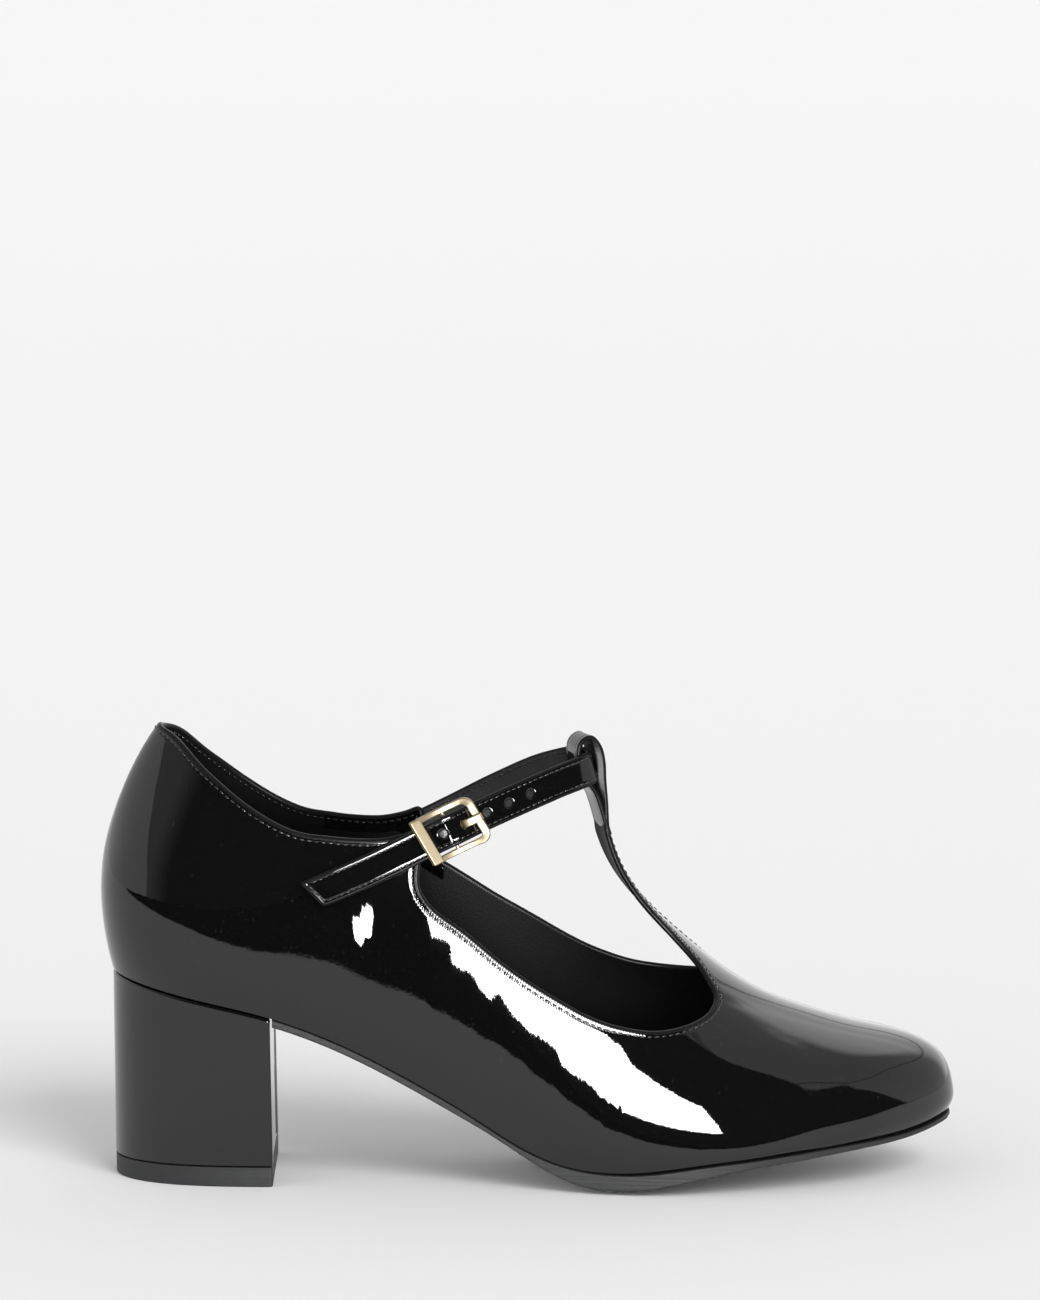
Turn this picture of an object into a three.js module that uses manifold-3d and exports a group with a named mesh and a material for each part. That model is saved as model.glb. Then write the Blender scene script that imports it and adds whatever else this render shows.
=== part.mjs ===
// T-strap shoe with a block heel: the right shoe, toe along +X, outer side along -Y, up along +Z.
// All lengths are millimetres. The group is centred over the origin and stands on z = 0.
import * as THREE from 'three';
import { mergeVertices } from 'three/addons/utils/BufferGeometryUtils.js';
import Module from 'manifold-3d';

const wasm = await Module();
wasm.setup();

// Driving sizes
const SHOE_LENGTH = 240;
const BALL_WIDTH = 77;
const SEAT_HEIGHT = 58.5;
const COUNTER_HEIGHT = 129.5;
const LEATHER_WALL = 1.8;
const SOLE_THICKNESS = 3.4;
const INSOLE_THICKNESS = 2.2;
const FIT_GAP = 0.3;
const HEEL_BREAST_X = -72;
const TOP_LIFT_THICKNESS = 5.6;
const TBAR_WIDTH = 11;
const TBAR_TURN = 0.3;
const STRAP_WIDTH = 9;
const STRAP_THICKNESS = 1.4;
const STRAP_HOLE = 2.4;
const LOOP_WALL = 1.6;
const BUCKLE_X = -0.0905;
const BUCKLE_LENGTH = 18.4;
const BUCKLE_WIDTH = 14.2;
const BUCKLE_BAR = 1.7;
const BUCKLE_BOW = 3.15;
const PIVOT_BAR = 1.1;
const PRONG_WIDTH = 1.8;
const PRONG_THICKNESS = 0.9;
const TAB_THICKNESS = 1.2;
const TAB_WRAP = 0.85;
const STRAP_HUMP = 1.9;
const HOLE_STEP = 7;

// Mesh steps: ribs from heel to toe, steps over a rib, steps down to the feather edge
const RIBS = 46;
const RIB_STEPS = 22;
const STRIP_STEPS = 2;

// Feather edge, where the upper meets the sole. at: share of SHOE_LENGTH. half: half width and
// centre: middle line, shares of BALL_WIDTH. rise: height, share of SEAT_HEIGHT. The ends are
// rounded by roundEnd, so half there is the width before rounding.
const FEATHER = [
  { at: -0.4896, half: 0.325, centre: 0, rise: 1.0 },
  { at: -0.396, half: 0.333, centre: 0, rise: 0.912 },
  { at: -0.304, half: 0.344, centre: 0, rise: 0.824 },
  { at: -0.219, half: 0.331, centre: -0.008, rise: 0.692 },
  { at: -0.125, half: 0.312, centre: -0.04, rise: 0.494 },
  { at: -0.032, half: 0.337, centre: -0.062, rise: 0.285 },
  { at: 0.0375, half: 0.378, centre: -0.06, rise: 0.158 },
  { at: 0.108, half: 0.44, centre: -0.046, rise: 0.122 },
  { at: 0.2, half: 0.5, centre: -0.021, rise: 0.144 },
  { at: 0.296, half: 0.476, centre: 0.004, rise: 0.184 },
  { at: 0.39, half: 0.398, centre: 0.03, rise: 0.223 },
  { at: 0.4625, half: 0.325, centre: 0.04, rise: 0.256 },
  { at: 0.4975, half: 0.305, centre: 0.045, rise: 0.29 },
];

// Widest line of the upper. at, half, centre as above. outer and inner: its height on the two
// sides, shares of COUNTER_HEIGHT.
const GIRTH = [
  { at: -0.5033, half: 0.364, centre: 0, outer: 0.633, inner: 0.633 },
  { at: -0.417, half: 0.36, centre: 0, outer: 0.583, inner: 0.587 },
  { at: -0.3125, half: 0.368, centre: 0, outer: 0.513, inner: 0.532 },
  { at: -0.229, half: 0.356, centre: 0, outer: 0.468, inner: 0.497 },
  { at: -0.167, half: 0.345, centre: -0.009, outer: 0.394, inner: 0.45 },
  { at: -0.083, half: 0.354, centre: -0.023, outer: 0.296, inner: 0.371 },
  { at: 0, half: 0.39, centre: -0.029, outer: 0.19, inner: 0.272 },
  { at: 0.083, half: 0.447, centre: -0.031, outer: 0.088, inner: 0.172 },
  { at: 0.167, half: 0.499, centre: -0.027, outer: 0.069, inner: 0.112 },
  { at: 0.229, half: 0.515, centre: -0.013, outer: 0.082, inner: 0.1 },
  { at: 0.3, half: 0.49, centre: 0.002, outer: 0.103, inner: 0.113 },
  { at: 0.354, half: 0.441, centre: 0.018, outer: 0.128, inner: 0.133 },
  { at: 0.417, half: 0.39, centre: 0.032, outer: 0.147, inner: 0.15 },
  { at: 0.458, half: 0.348, centre: 0.039, outer: 0.157, inner: 0.158 },
  { at: 0.5058, half: 0.318, centre: 0.045, outer: 0.17, inner: 0.17 },
];

// Crown of each rib, from the back of the heel over the open ankle to the top of the T-bar, down
// the instep and over the toe. rib: 0 heel to 1 toe. at: share of SHOE_LENGTH. rise: share of
// COUNTER_HEIGHT. side: share of BALL_WIDTH. full: how far the rib's shoulder fills out.
const CROWN = [
  { rib: 0, at: -0.5033, rise: 0.633, side: 0, full: -0.25 },
  { rib: 0.05, at: -0.4998, rise: 0.709, side: 0, full: -0.25 },
  { rib: 0.1, at: -0.4875, rise: 0.797, side: 0, full: -0.27 },
  { rib: 0.15, at: -0.4675, rise: 0.889, side: 0, full: -0.3 },
  { rib: 0.2, at: -0.4354, rise: 0.99, side: 0, full: -0.3 },
  { rib: 0.25, at: -0.3833, rise: 1.085, side: 0, full: -0.25 },
  { rib: 0.3, at: -0.3, rise: 1.158, side: 0, full: -0.15 },
  { rib: 0.35, at: -0.1917, rise: 1.19, side: 0, full: -0.05 },
  { rib: 0.4, at: -0.075, rise: 1.158, side: 0, full: 0 },
  { rib: 0.45, at: 0.022, rise: 1.062, side: 0, full: 0 },
  { rib: 0.5, at: 0.0775, rise: 0.876, side: 0, full: 0 },
  { rib: 0.55, at: 0.108, rise: 0.687, side: 0.01, full: 0 },
  { rib: 0.6, at: 0.177, rise: 0.533, side: 0.03, full: 0 },
  { rib: 0.65, at: 0.26, rise: 0.414, side: 0.04, full: 0.02 },
  { rib: 0.7, at: 0.33, rise: 0.359, side: 0.045, full: 0.06 },
  { rib: 0.75, at: 0.384, rise: 0.33, side: 0.045, full: 0.1 },
  { rib: 0.8, at: 0.426, rise: 0.313, side: 0.045, full: 0.12 },
  { rib: 0.85, at: 0.46, rise: 0.294, side: 0.045, full: 0.1 },
  { rib: 0.9, at: 0.487, rise: 0.263, side: 0.045, full: 0.06 },
  { rib: 0.95, at: 0.5008, rise: 0.22, side: 0.045, full: 0.02 },
  { rib: 1, at: 0.5058, rise: 0.17, side: 0.045, full: 0 },
];

// Collar edge from the back of the heel to the wing's front corner, the same on both sides.
const COLLAR = [
  { at: -0.52, rise: 1.06 },
  { at: -0.4296, rise: 0.991 },
  { at: -0.383, rise: 0.932 },
  { at: -0.3533, rise: 0.891 },
  { at: -0.3271, rise: 0.857 },
  { at: -0.2954, rise: 0.82 },
  { at: -0.265, rise: 0.7915 },
  { at: -0.2358, rise: 0.7776 },
  { at: -0.2067, rise: 0.7683 },
  { at: -0.1717, rise: 0.766 },
  { at: -0.1425, rise: 0.7768 },
  { at: -0.1265, rise: 0.787 },
];

// Lower edge of the side openings, from the wing's front corner to the front tip beside the T-bar.
const OUTER_OPENING = [
  { at: -0.122, rise: 0.757 },
  { at: -0.1262, rise: 0.667 },
  { at: -0.1158, rise: 0.628 },
  { at: -0.1008, rise: 0.6015 },
  { at: -0.0783, rise: 0.572 },
  { at: -0.0321, rise: 0.501 },
  { at: 0.003, rise: 0.4587 },
  { at: 0.038, rise: 0.4286 },
  { at: 0.073, rise: 0.406 },
  { at: 0.108, rise: 0.3907 },
  { at: 0.155, rise: 0.3768 },
  { at: 0.1904, rise: 0.3807 },
  { at: 0.2142, rise: 0.3954 },
  { at: 0.2287, rise: 0.4224 },
];
const INNER_OPENING = [
  { at: -0.122, rise: 0.76 },
  { at: -0.1262, rise: 0.715 },
  { at: -0.1158, rise: 0.684 },
  { at: -0.092, rise: 0.653 },
  { at: -0.0442, rise: 0.596 },
  { at: -0.0088, rise: 0.559 },
  { at: 0.0392, rise: 0.512 },
  { at: 0.0871, rise: 0.4734 },
  { at: 0.1346, rise: 0.4471 },
  { at: 0.18, rise: 0.436 },
  { at: 0.21, rise: 0.44 },
  { at: 0.2287, rise: 0.452 },
];

// Plan of the T-bar's flare: distance of its edge from the ridge, share of BALL_WIDTH.
const TBAR_FLARE = [
  { at: 0.02, half: 0.07 },
  { at: 0.15, half: 0.07 },
  { at: 0.17, half: 0.076 },
  { at: 0.19, half: 0.1 },
  { at: 0.207, half: 0.15 },
  { at: 0.22, half: 0.22 },
  { at: 0.229, half: 0.32 },
  { at: 0.2315, half: 0.45 },
];

// Path of the ankle strap's middle, from its loose end on the outer wing, through the buckle and
// the T-bar's loop, to the inner wing. Shares of the shoe's length, ball width and counter height.
// lean: how far the strap's top edge tips inward.
const STRAP_PATH = [
  { at: -0.252, side: -0.3868, rise: 0.643, lean: 0.08 },
  { at: -0.2, side: -0.3705, rise: 0.683, lean: 0.09 },
  { at: -0.1458, side: -0.3542, rise: 0.7255, lean: 0.12 },
  { at: -0.0905, side: -0.3316, rise: 0.7705, lean: 0.14 },
  { at: -0.0292, side: -0.2727, rise: 0.8185, lean: 0.18 },
  { at: 0.0333, side: -0.1792, rise: 0.8675, lean: 0.26 },
  { at: 0.0755, side: -0.0779, rise: 0.901, lean: 0.28 },
  { at: 0.0695, side: 0, rise: 0.906, lean: 0.28 },
  { at: 0.0608, side: 0.0779, rise: 0.903, lean: 0.28 },
  { at: 0.0188, side: 0.1623, rise: 0.8775, lean: 0.24 },
  { at: -0.0333, side: 0.2442, rise: 0.828, lean: 0.16 },
  { at: -0.0792, side: 0.289, rise: 0.7815, lean: 0.13 },
  { at: -0.125, side: 0.3112, rise: 0.738, lean: 0.12 },
  { at: -0.175, side: 0.3325, rise: 0.6919, lean: 0.1 },
];

// Natural cubic spline through one column of a table
function curve(table, key, column, scale) {
  const x = table.map((row) => row[key]);
  const y = table.map((row) => row[column] * scale);
  const n = x.length;
  const m = new Array(n).fill(0);
  const c = new Array(n).fill(0);
  const d = new Array(n).fill(0);
  for (let i = 1; i < n - 1; i += 1) {
    const a = x[i] - x[i - 1];
    const b = x[i + 1] - x[i];
    const rhs = 6 * ((y[i + 1] - y[i]) / b - (y[i] - y[i - 1]) / a);
    const w = 2 * (a + b) - a * c[i - 1];
    c[i] = b / w;
    d[i] = (rhs - a * d[i - 1]) / w;
  }
  for (let i = n - 2; i > 0; i -= 1) {
    m[i] = d[i] - c[i] * m[i + 1];
  }
  return (at) => {
    let i = 0;
    while (i < n - 2 && at > x[i + 1]) {
      i += 1;
    }
    const h = x[i + 1] - x[i];
    const p = (x[i + 1] - at) / h;
    const q = (at - x[i]) / h;
    const bend = ((p * p * p - p) * m[i] + (q * q * q - q) * m[i + 1]) * h * h / 6;
    if (p < 0 || q < 0) {
      const side = p < 0 ? 1 : -1;
      const edge = p < 0 ? 1 : 0;
      const slope = (y[i + 1] - y[i]) / h + side * h * (m[i + edge] * 2 + m[i + 1 - edge]) / 6;
      return (p < 0 ? y[i + 1] : y[i]) + slope * (at - x[i + edge]);
    }
    return p * y[i] + q * y[i + 1] + bend;
  };
}

// Rounds the two ends of a plan outline: 0 at the very end, 1 past the reach
function roundEnd(gap, reach) {
  const q = Math.min(Math.max(gap / reach, 0), 1);
  return Math.sqrt(Math.max(0, 1 - (1 - q) ** 3));
}

const featherHalf = curve(FEATHER, 'at', 'half', BALL_WIDTH);
const featherCentre = curve(FEATHER, 'at', 'centre', BALL_WIDTH);
const featherRise = curve(FEATHER, 'at', 'rise', SEAT_HEIGHT);
const girthHalf = curve(GIRTH, 'at', 'half', BALL_WIDTH);
const girthCentre = curve(GIRTH, 'at', 'centre', BALL_WIDTH);
const girthOuter = curve(GIRTH, 'at', 'outer', COUNTER_HEIGHT);
const girthInner = curve(GIRTH, 'at', 'inner', COUNTER_HEIGHT);
const crownAt = curve(CROWN, 'rib', 'at', SHOE_LENGTH);
const crownRise = curve(CROWN, 'rib', 'rise', COUNTER_HEIGHT);
const crownSide = curve(CROWN, 'rib', 'side', BALL_WIDTH);
const crownFull = curve(CROWN, 'rib', 'full', 1);

const HEEL_ROUND = 42;
const TOE_ROUND = 40;
const FEATHER_BACK = FEATHER[0].at * SHOE_LENGTH;
const FEATHER_FRONT = FEATHER[FEATHER.length - 1].at * SHOE_LENGTH;
const GIRTH_BACK = GIRTH[0].at * SHOE_LENGTH;
const GIRTH_FRONT = GIRTH[GIRTH.length - 1].at * SHOE_LENGTH;

// Point along a span, bunched towards both ends
function along(rib, back, front) {
  return back + (front - back) * (1 - Math.cos(Math.PI * rib)) / 2;
}

// Outline of the feather edge: half width and middle at a station
function featherAt(x) {
  const ends = roundEnd(x - FEATHER_BACK, HEEL_ROUND) * roundEnd(FEATHER_FRONT - x, TOE_ROUND);
  const share = x / SHOE_LENGTH;
  return { half: featherHalf(share) * ends, centre: featherCentre(share), rise: featherRise(share) };
}

function girthAt(x) {
  const ends = roundEnd(x - GIRTH_BACK, HEEL_ROUND) * roundEnd(GIRTH_FRONT - x, TOE_ROUND);
  const share = x / SHOE_LENGTH;
  return {
    half: girthHalf(share) * ends,
    centre: girthCentre(share),
    outer: girthOuter(share),
    inner: girthInner(share),
  };
}

// Smooth step between two values
function ramp(from, to, value) {
  const q = Math.min(Math.max((value - from) / (to - from), 0), 1);
  return q * q * (3 - 2 * q);
}

// Upper zone: over the rib from the outer girth line (turn 0) to the inner one (turn PI)
function ribPoint(rib, turn) {
  const x = along(rib, GIRTH_BACK, GIRTH_FRONT);
  const girth = girthAt(x);
  const c = Math.cos(turn);
  const s = Math.sin(turn);
  const full = crownFull(rib);
  const outer = (1 + c) / 2;
  const low = girth.outer * outer + girth.inner * (1 - outer);
  const top = crownRise(rib);
  const lift = s * s;
  const y = girth.centre - girth.half * c * (1 + full * lift) + (crownSide(rib) - girth.centre) * lift;
  const turnIn = TBAR_TURN * ramp(0.62, 0.52, rib) * (1 - ramp(0.36, 0.3, rib));
  const dx = (crownAt(rib) - x) * lift - turnIn * (y - crownSide(rib)) * lift;
  return new THREE.Vector3(x + dx, y, low + (top - low) * s);
}

// Strip between the girth line (down 0) and the feather edge (down 1)
function stripPoint(rib, side, down) {
  const gx = along(rib, GIRTH_BACK, GIRTH_FRONT);
  const girth = girthAt(gx);
  const fx = along(rib, FEATHER_BACK, FEATHER_FRONT);
  const feather = featherAt(fx);
  const gy = girth.centre + side * girth.half;
  const gz = side < 0 ? girth.outer : girth.inner;
  const fy = feather.centre + side * feather.half;
  const fz = feather.rise + FIT_GAP + 0.1;
  const bend = down * down;
  return new THREE.Vector3(gx + (fx - gx) * bend, gy + (fy - gy) * bend, gz + (fz - gz) * down);
}

// Point of the upper's outer face at a side view position (x, z), and its outward direction
function skinAt(x, z, side) {
  let rib = 0;
  let turn = 0;
  let best = Infinity;
  for (let i = 1; i < 40; i += 1) {
    for (let j = 0; j <= 10; j += 1) {
      const t = side < 0 ? Math.PI * j / 20 : Math.PI - Math.PI * j / 20;
      const p = ribPoint(i / 40, t);
      const d = (p.x - x) ** 2 + (p.z - z) ** 2;
      if (d < best) {
        best = d;
        rib = i / 40;
        turn = t;
      }
    }
  }
  const h = 1e-4;
  for (let k = 0; k < 12; k += 1) {
    const p = ribPoint(rib, turn);
    const a = ribPoint(rib + h, turn).sub(p).divideScalar(h);
    const b = ribPoint(rib, turn + h).sub(p).divideScalar(h);
    const det = a.x * b.z - b.x * a.z;
    const ex = x - p.x;
    const ez = z - p.z;
    rib += 0.8 * (ex * b.z - b.x * ez) / det;
    turn += 0.8 * (a.x * ez - ex * a.z) / det;
  }
  const p = ribPoint(rib, turn);
  const a = ribPoint(rib + h, turn).sub(p);
  const b = ribPoint(rib, turn + h).sub(p);
  const out = a.cross(b).normalize();
  if (out.y * side < 0) {
    out.negate();
  }
  return { point: p, out };
}

// Closed mesh from points and triangles
function geometryOf(points, faces) {
  const geometry = new THREE.BufferGeometry();
  const flat = [];
  points.forEach((p) => flat.push(p.x, p.y, p.z));
  geometry.setAttribute('position', new THREE.Float32BufferAttribute(flat, 3));
  geometry.setIndex(faces);
  return geometry;
}

function solidOf(geometry) {
  const plain = geometry.clone();
  plain.deleteAttribute('normal');
  plain.deleteAttribute('uv');
  const merged = mergeVertices(plain, 1e-4);
  const mesh = new wasm.Mesh({
    numProp: 3,
    vertProperties: Float32Array.from(merged.attributes.position.array),
    triVerts: Uint32Array.from(merged.index.array),
  });
  return new wasm.Manifold(mesh);
}

function geometryFrom(solid) {
  const mesh = solid.getMesh();
  const geometry = new THREE.BufferGeometry();
  const flat = new Float32Array(mesh.numVert * 3);
  for (let i = 0; i < mesh.numVert; i += 1) {
    flat[3 * i] = mesh.vertProperties[i * mesh.numProp];
    flat[3 * i + 1] = mesh.vertProperties[i * mesh.numProp + 1];
    flat[3 * i + 2] = mesh.vertProperties[i * mesh.numProp + 2];
  }
  geometry.setAttribute('position', new THREE.BufferAttribute(flat, 3));
  geometry.setIndex(new THREE.BufferAttribute(Uint32Array.from(mesh.triVerts), 1));
  geometry.computeVertexNormals();
  return geometry;
}

// Hollow shell of the upper, open underneath, before the openings are cut
function shellGeometry() {
  const points = [];
  const faces = [];
  const add = (p) => points.push(p) - 1;
  const grid = [];
  const backPole = add(ribPoint(0, 0));
  for (let i = 0; i <= RIBS; i += 1) {
    const row = [];
    for (let j = 0; j <= RIB_STEPS; j += 1) {
      const inside = i > 0 && i < RIBS;
      row.push(inside ? add(ribPoint(i / RIBS, Math.PI * j / RIB_STEPS)) : backPole);
    }
    grid.push(row);
  }
  const frontPole = add(ribPoint(1, 0));
  grid[RIBS] = grid[RIBS].map(() => frontPole);
  const loops = [[]];
  for (let i = 0; i <= RIBS; i += 1) {
    loops[0].push(grid[i][0]);
  }
  for (let i = RIBS - 1; i > 0; i -= 1) {
    loops[0].push(grid[i][RIB_STEPS]);
  }
  for (let k = 1; k <= STRIP_STEPS; k += 1) {
    const loop = [];
    for (let i = 0; i <= RIBS; i += 1) {
      loop.push(add(stripPoint(i / RIBS, -1, k / STRIP_STEPS)));
    }
    for (let i = RIBS - 1; i > 0; i -= 1) {
      loop.push(add(stripPoint(i / RIBS, 1, k / STRIP_STEPS)));
    }
    loops.push(loop);
  }
  const put = (a, b, c) => {
    if (a !== b && b !== c && a !== c) {
      faces.push(a, b, c);
    }
  };
  for (let i = 0; i < RIBS; i += 1) {
    for (let j = 0; j < RIB_STEPS; j += 1) {
      put(grid[i][j], grid[i + 1][j], grid[i + 1][j + 1]);
      put(grid[i][j], grid[i + 1][j + 1], grid[i][j + 1]);
    }
  }
  const around = loops[0].length;
  for (let k = 0; k < STRIP_STEPS; k += 1) {
    for (let i = 0; i < around; i += 1) {
      const n = (i + 1) % around;
      put(loops[k][i], loops[k + 1][i], loops[k + 1][n]);
      put(loops[k][i], loops[k + 1][n], loops[k][n]);
    }
  }
  const skin = geometryOf(points, faces);
  skin.computeVertexNormals();
  const normal = skin.attributes.normal;
  const count = points.length;
  const foot = new Set(loops[STRIP_STEPS]);
  const inner = points.map((p, i) => {
    const n = new THREE.Vector3(normal.getX(i), normal.getY(i), normal.getZ(i));
    if (foot.has(i)) {
      n.z = 0;
      n.normalize();
    }
    return p.clone().addScaledVector(n, -LEATHER_WALL);
  });
  const all = points.concat(inner);
  const closed = faces.slice();
  for (let i = 0; i < faces.length; i += 3) {
    closed.push(faces[i] + count, faces[i + 2] + count, faces[i + 1] + count);
  }
  const rim = loops[STRIP_STEPS];
  for (let i = 0; i < around; i += 1) {
    const n = (i + 1) % around;
    closed.push(rim[i], rim[i] + count, rim[n] + count);
    closed.push(rim[i], rim[n] + count, rim[n]);
  }
  return geometryOf(all, closed);
}

// Prism from a flat outline; place maps (a, b, level) to a point
function prism(outline, low, high, place) {
  const shape = outline.map((p) => new THREE.Vector2(p[0], p[1]));
  if (THREE.ShapeUtils.area(shape) < 0) {
    shape.reverse();
  }
  const flat = THREE.ShapeUtils.triangulateShape(shape, []);
  const n = shape.length;
  const points = [];
  shape.forEach((p) => points.push(place(p.x, p.y, low)));
  shape.forEach((p) => points.push(place(p.x, p.y, high)));
  const faces = [];
  flat.forEach(([a, b, c]) => {
    faces.push(a, c, b);
    faces.push(a + n, b + n, c + n);
  });
  for (let i = 0; i < n; i += 1) {
    const k = (i + 1) % n;
    faces.push(i, k, k + n);
    faces.push(i, k + n, i + n);
  }
  return geometryOf(points, faces);
}

function volumeOf(geometry) {
  const p = geometry.attributes.position;
  const f = geometry.index;
  const a = new THREE.Vector3();
  const b = new THREE.Vector3();
  const c = new THREE.Vector3();
  let sum = 0;
  for (let i = 0; i < f.count; i += 3) {
    a.fromBufferAttribute(p, f.getX(i));
    b.fromBufferAttribute(p, f.getX(i + 1));
    c.fromBufferAttribute(p, f.getX(i + 2));
    sum += a.dot(b.cross(c));
  }
  return sum / 6;
}

// Turns a closed mesh's faces outward when they face in
function facingOut(geometry) {
  if (volumeOf(geometry) < 0) {
    const f = geometry.index.array;
    for (let i = 0; i < f.length; i += 3) {
      const keep = f[i + 1];
      f[i + 1] = f[i + 2];
      f[i + 2] = keep;
    }
  }
  return geometry;
}

const sidePrism = (outline, low, high) => facingOut(
  prism(outline, low, high, (a, b, level) => new THREE.Vector3(a, level, b)),
);
const planPrism = (outline, low, high) => facingOut(
  prism(outline, low, high, (a, b, level) => new THREE.Vector3(a, b, level)),
);

// Sweep of a rectangle or a loop of offsets along a list of frames
function sweep(frames, section) {
  const n = section.length;
  const points = [];
  frames.forEach((frame) => {
    const scale = frame.scale === undefined ? 1 : frame.scale;
    section.forEach(([a, b]) => {
      const p = frame.origin.clone();
      p.addScaledVector(frame.across, a * scale);
      p.addScaledVector(frame.out, b);
      points.push(p);
    });
  });
  const faces = [];
  for (let i = 0; i < frames.length - 1; i += 1) {
    for (let j = 0; j < n; j += 1) {
      const k = (j + 1) % n;
      faces.push(i * n + j, i * n + k, (i + 1) * n + k);
      faces.push(i * n + j, (i + 1) * n + k, (i + 1) * n + j);
    }
  }
  const flat = THREE.ShapeUtils.triangulateShape(section.map((p) => new THREE.Vector2(p[0], p[1])), []);
  const last = (frames.length - 1) * n;
  flat.forEach(([a, b, c]) => {
    faces.push(a, c, b);
    faces.push(last + a, last + b, last + c);
  });
  return facingOut(geometryOf(points, faces));
}

// Smooth path through points
function smooth(points, count) {
  const line = new THREE.CatmullRomCurve3(points, false, 'centripetal');
  const out = [];
  for (let i = 0; i <= count; i += 1) {
    const t = line.getUtoTmapping(i / count);
    out.push({ point: line.getPoint(t), tangent: line.getTangent(t) });
  }
  return out;
}

const tablePoint = (row) => new THREE.Vector3(
  row.at * SHOE_LENGTH,
  row.side * BALL_WIDTH,
  row.rise * COUNTER_HEIGHT,
);

// Opening tool for one side: everything above the collar and opening edges, clear of the T-bar
function openingTool(edge, side) {
  const outline = COLLAR.concat(edge).map((row) => [row.at * SHOE_LENGTH, row.rise * COUNTER_HEIGHT]);
  const last = outline[outline.length - 1];
  outline.push([last[0] + 1.2, last[1] + 4]);
  outline.push([last[0] + 1.2, 2 * COUNTER_HEIGHT]);
  outline.push([outline[0][0], 2 * COUNTER_HEIGHT]);
  const ridge = CROWN[11].side * BALL_WIDTH;
  const plan = TBAR_FLARE.map((row) => [row.at * SHOE_LENGTH, ridge + side * row.half * BALL_WIDTH]);
  const far = side * SHOE_LENGTH;
  plan.push([plan[plan.length - 1][0], far]);
  plan.push([-SHOE_LENGTH, far]);
  plan.push([-SHOE_LENGTH, ridge]);
  plan.push([0.02 * SHOE_LENGTH, ridge]);
  const wide = solidOf(sidePrism(outline, -BALL_WIDTH, BALL_WIDTH));
  const tall = solidOf(planPrism(plan, -SHOE_LENGTH, SHOE_LENGTH));
  return wide.intersect(tall);
}

// Loop at the top of the T-bar: middle line of a band folded over the strap and down behind it.
// at: share of SHOE_LENGTH. rise: share of COUNTER_HEIGHT.
const LOOP_PATH = [
  { at: 0.0952, rise: 0.772 },
  { at: 0.0895, rise: 0.803 },
  { at: 0.0857, rise: 0.838 },
  { at: 0.0842, rise: 0.873 },
  { at: 0.0832, rise: 0.91 },
  { at: 0.0785, rise: 0.944 },
  { at: 0.068, rise: 0.965 },
  { at: 0.0562, rise: 0.953 },
  { at: 0.053, rise: 0.917 },
  { at: 0.0592, rise: 0.876 },
  { at: 0.0668, rise: 0.841 },
  { at: 0.0762, rise: 0.807 },
  { at: 0.0842, rise: 0.775 },
  { at: 0.09, rise: 0.75 },
];

function loopGeometry() {
  const turn = Math.atan(TBAR_TURN);
  const across = new THREE.Vector3(-Math.sin(turn), Math.cos(turn), 0);
  const ahead = new THREE.Vector3(Math.cos(turn), Math.sin(turn), 0);
  const pivot = new THREE.Vector3(0.084 * SHOE_LENGTH, 0.004 * BALL_WIDTH, 0);
  const points = LOOP_PATH.map((row) => new THREE.Vector3(
    row.at * SHOE_LENGTH - pivot.x,
    0,
    row.rise * COUNTER_HEIGHT,
  ));
  const frames = smooth(points, 34).map(({ point, tangent }) => {
    const origin = pivot.clone().addScaledVector(ahead, point.x);
    origin.z = point.z;
    const out = ahead.clone().multiplyScalar(tangent.z);
    out.z = -tangent.x;
    return { origin, across, out };
  });
  const half = TBAR_WIDTH / 2 - 0.25;
  const wall = LOOP_WALL / 2;
  return sweep(frames, [[-half, -wall], [half, -wall], [half, wall], [-half, wall]]);
}

function upperGeometry() {
  let solid = solidOf(facingOut(shellGeometry()));
  solid = solid.subtract(openingTool(OUTER_OPENING, -1));
  solid = solid.subtract(openingTool(INNER_OPENING, 1));
  const a = 0.25 * SHOE_LENGTH;
  const b = 0.5 * BALL_WIDTH;
  const topCut = planPrism([[-a, -b], [a, -b], [a, b], [-a, b]], 0.8 * COUNTER_HEIGHT, 3 * COUNTER_HEIGHT);
  solid = solid.subtract(solidOf(topCut));
  solid = solid.add(solidOf(loopGeometry()));
  return geometryFrom(solid);
}

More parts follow.
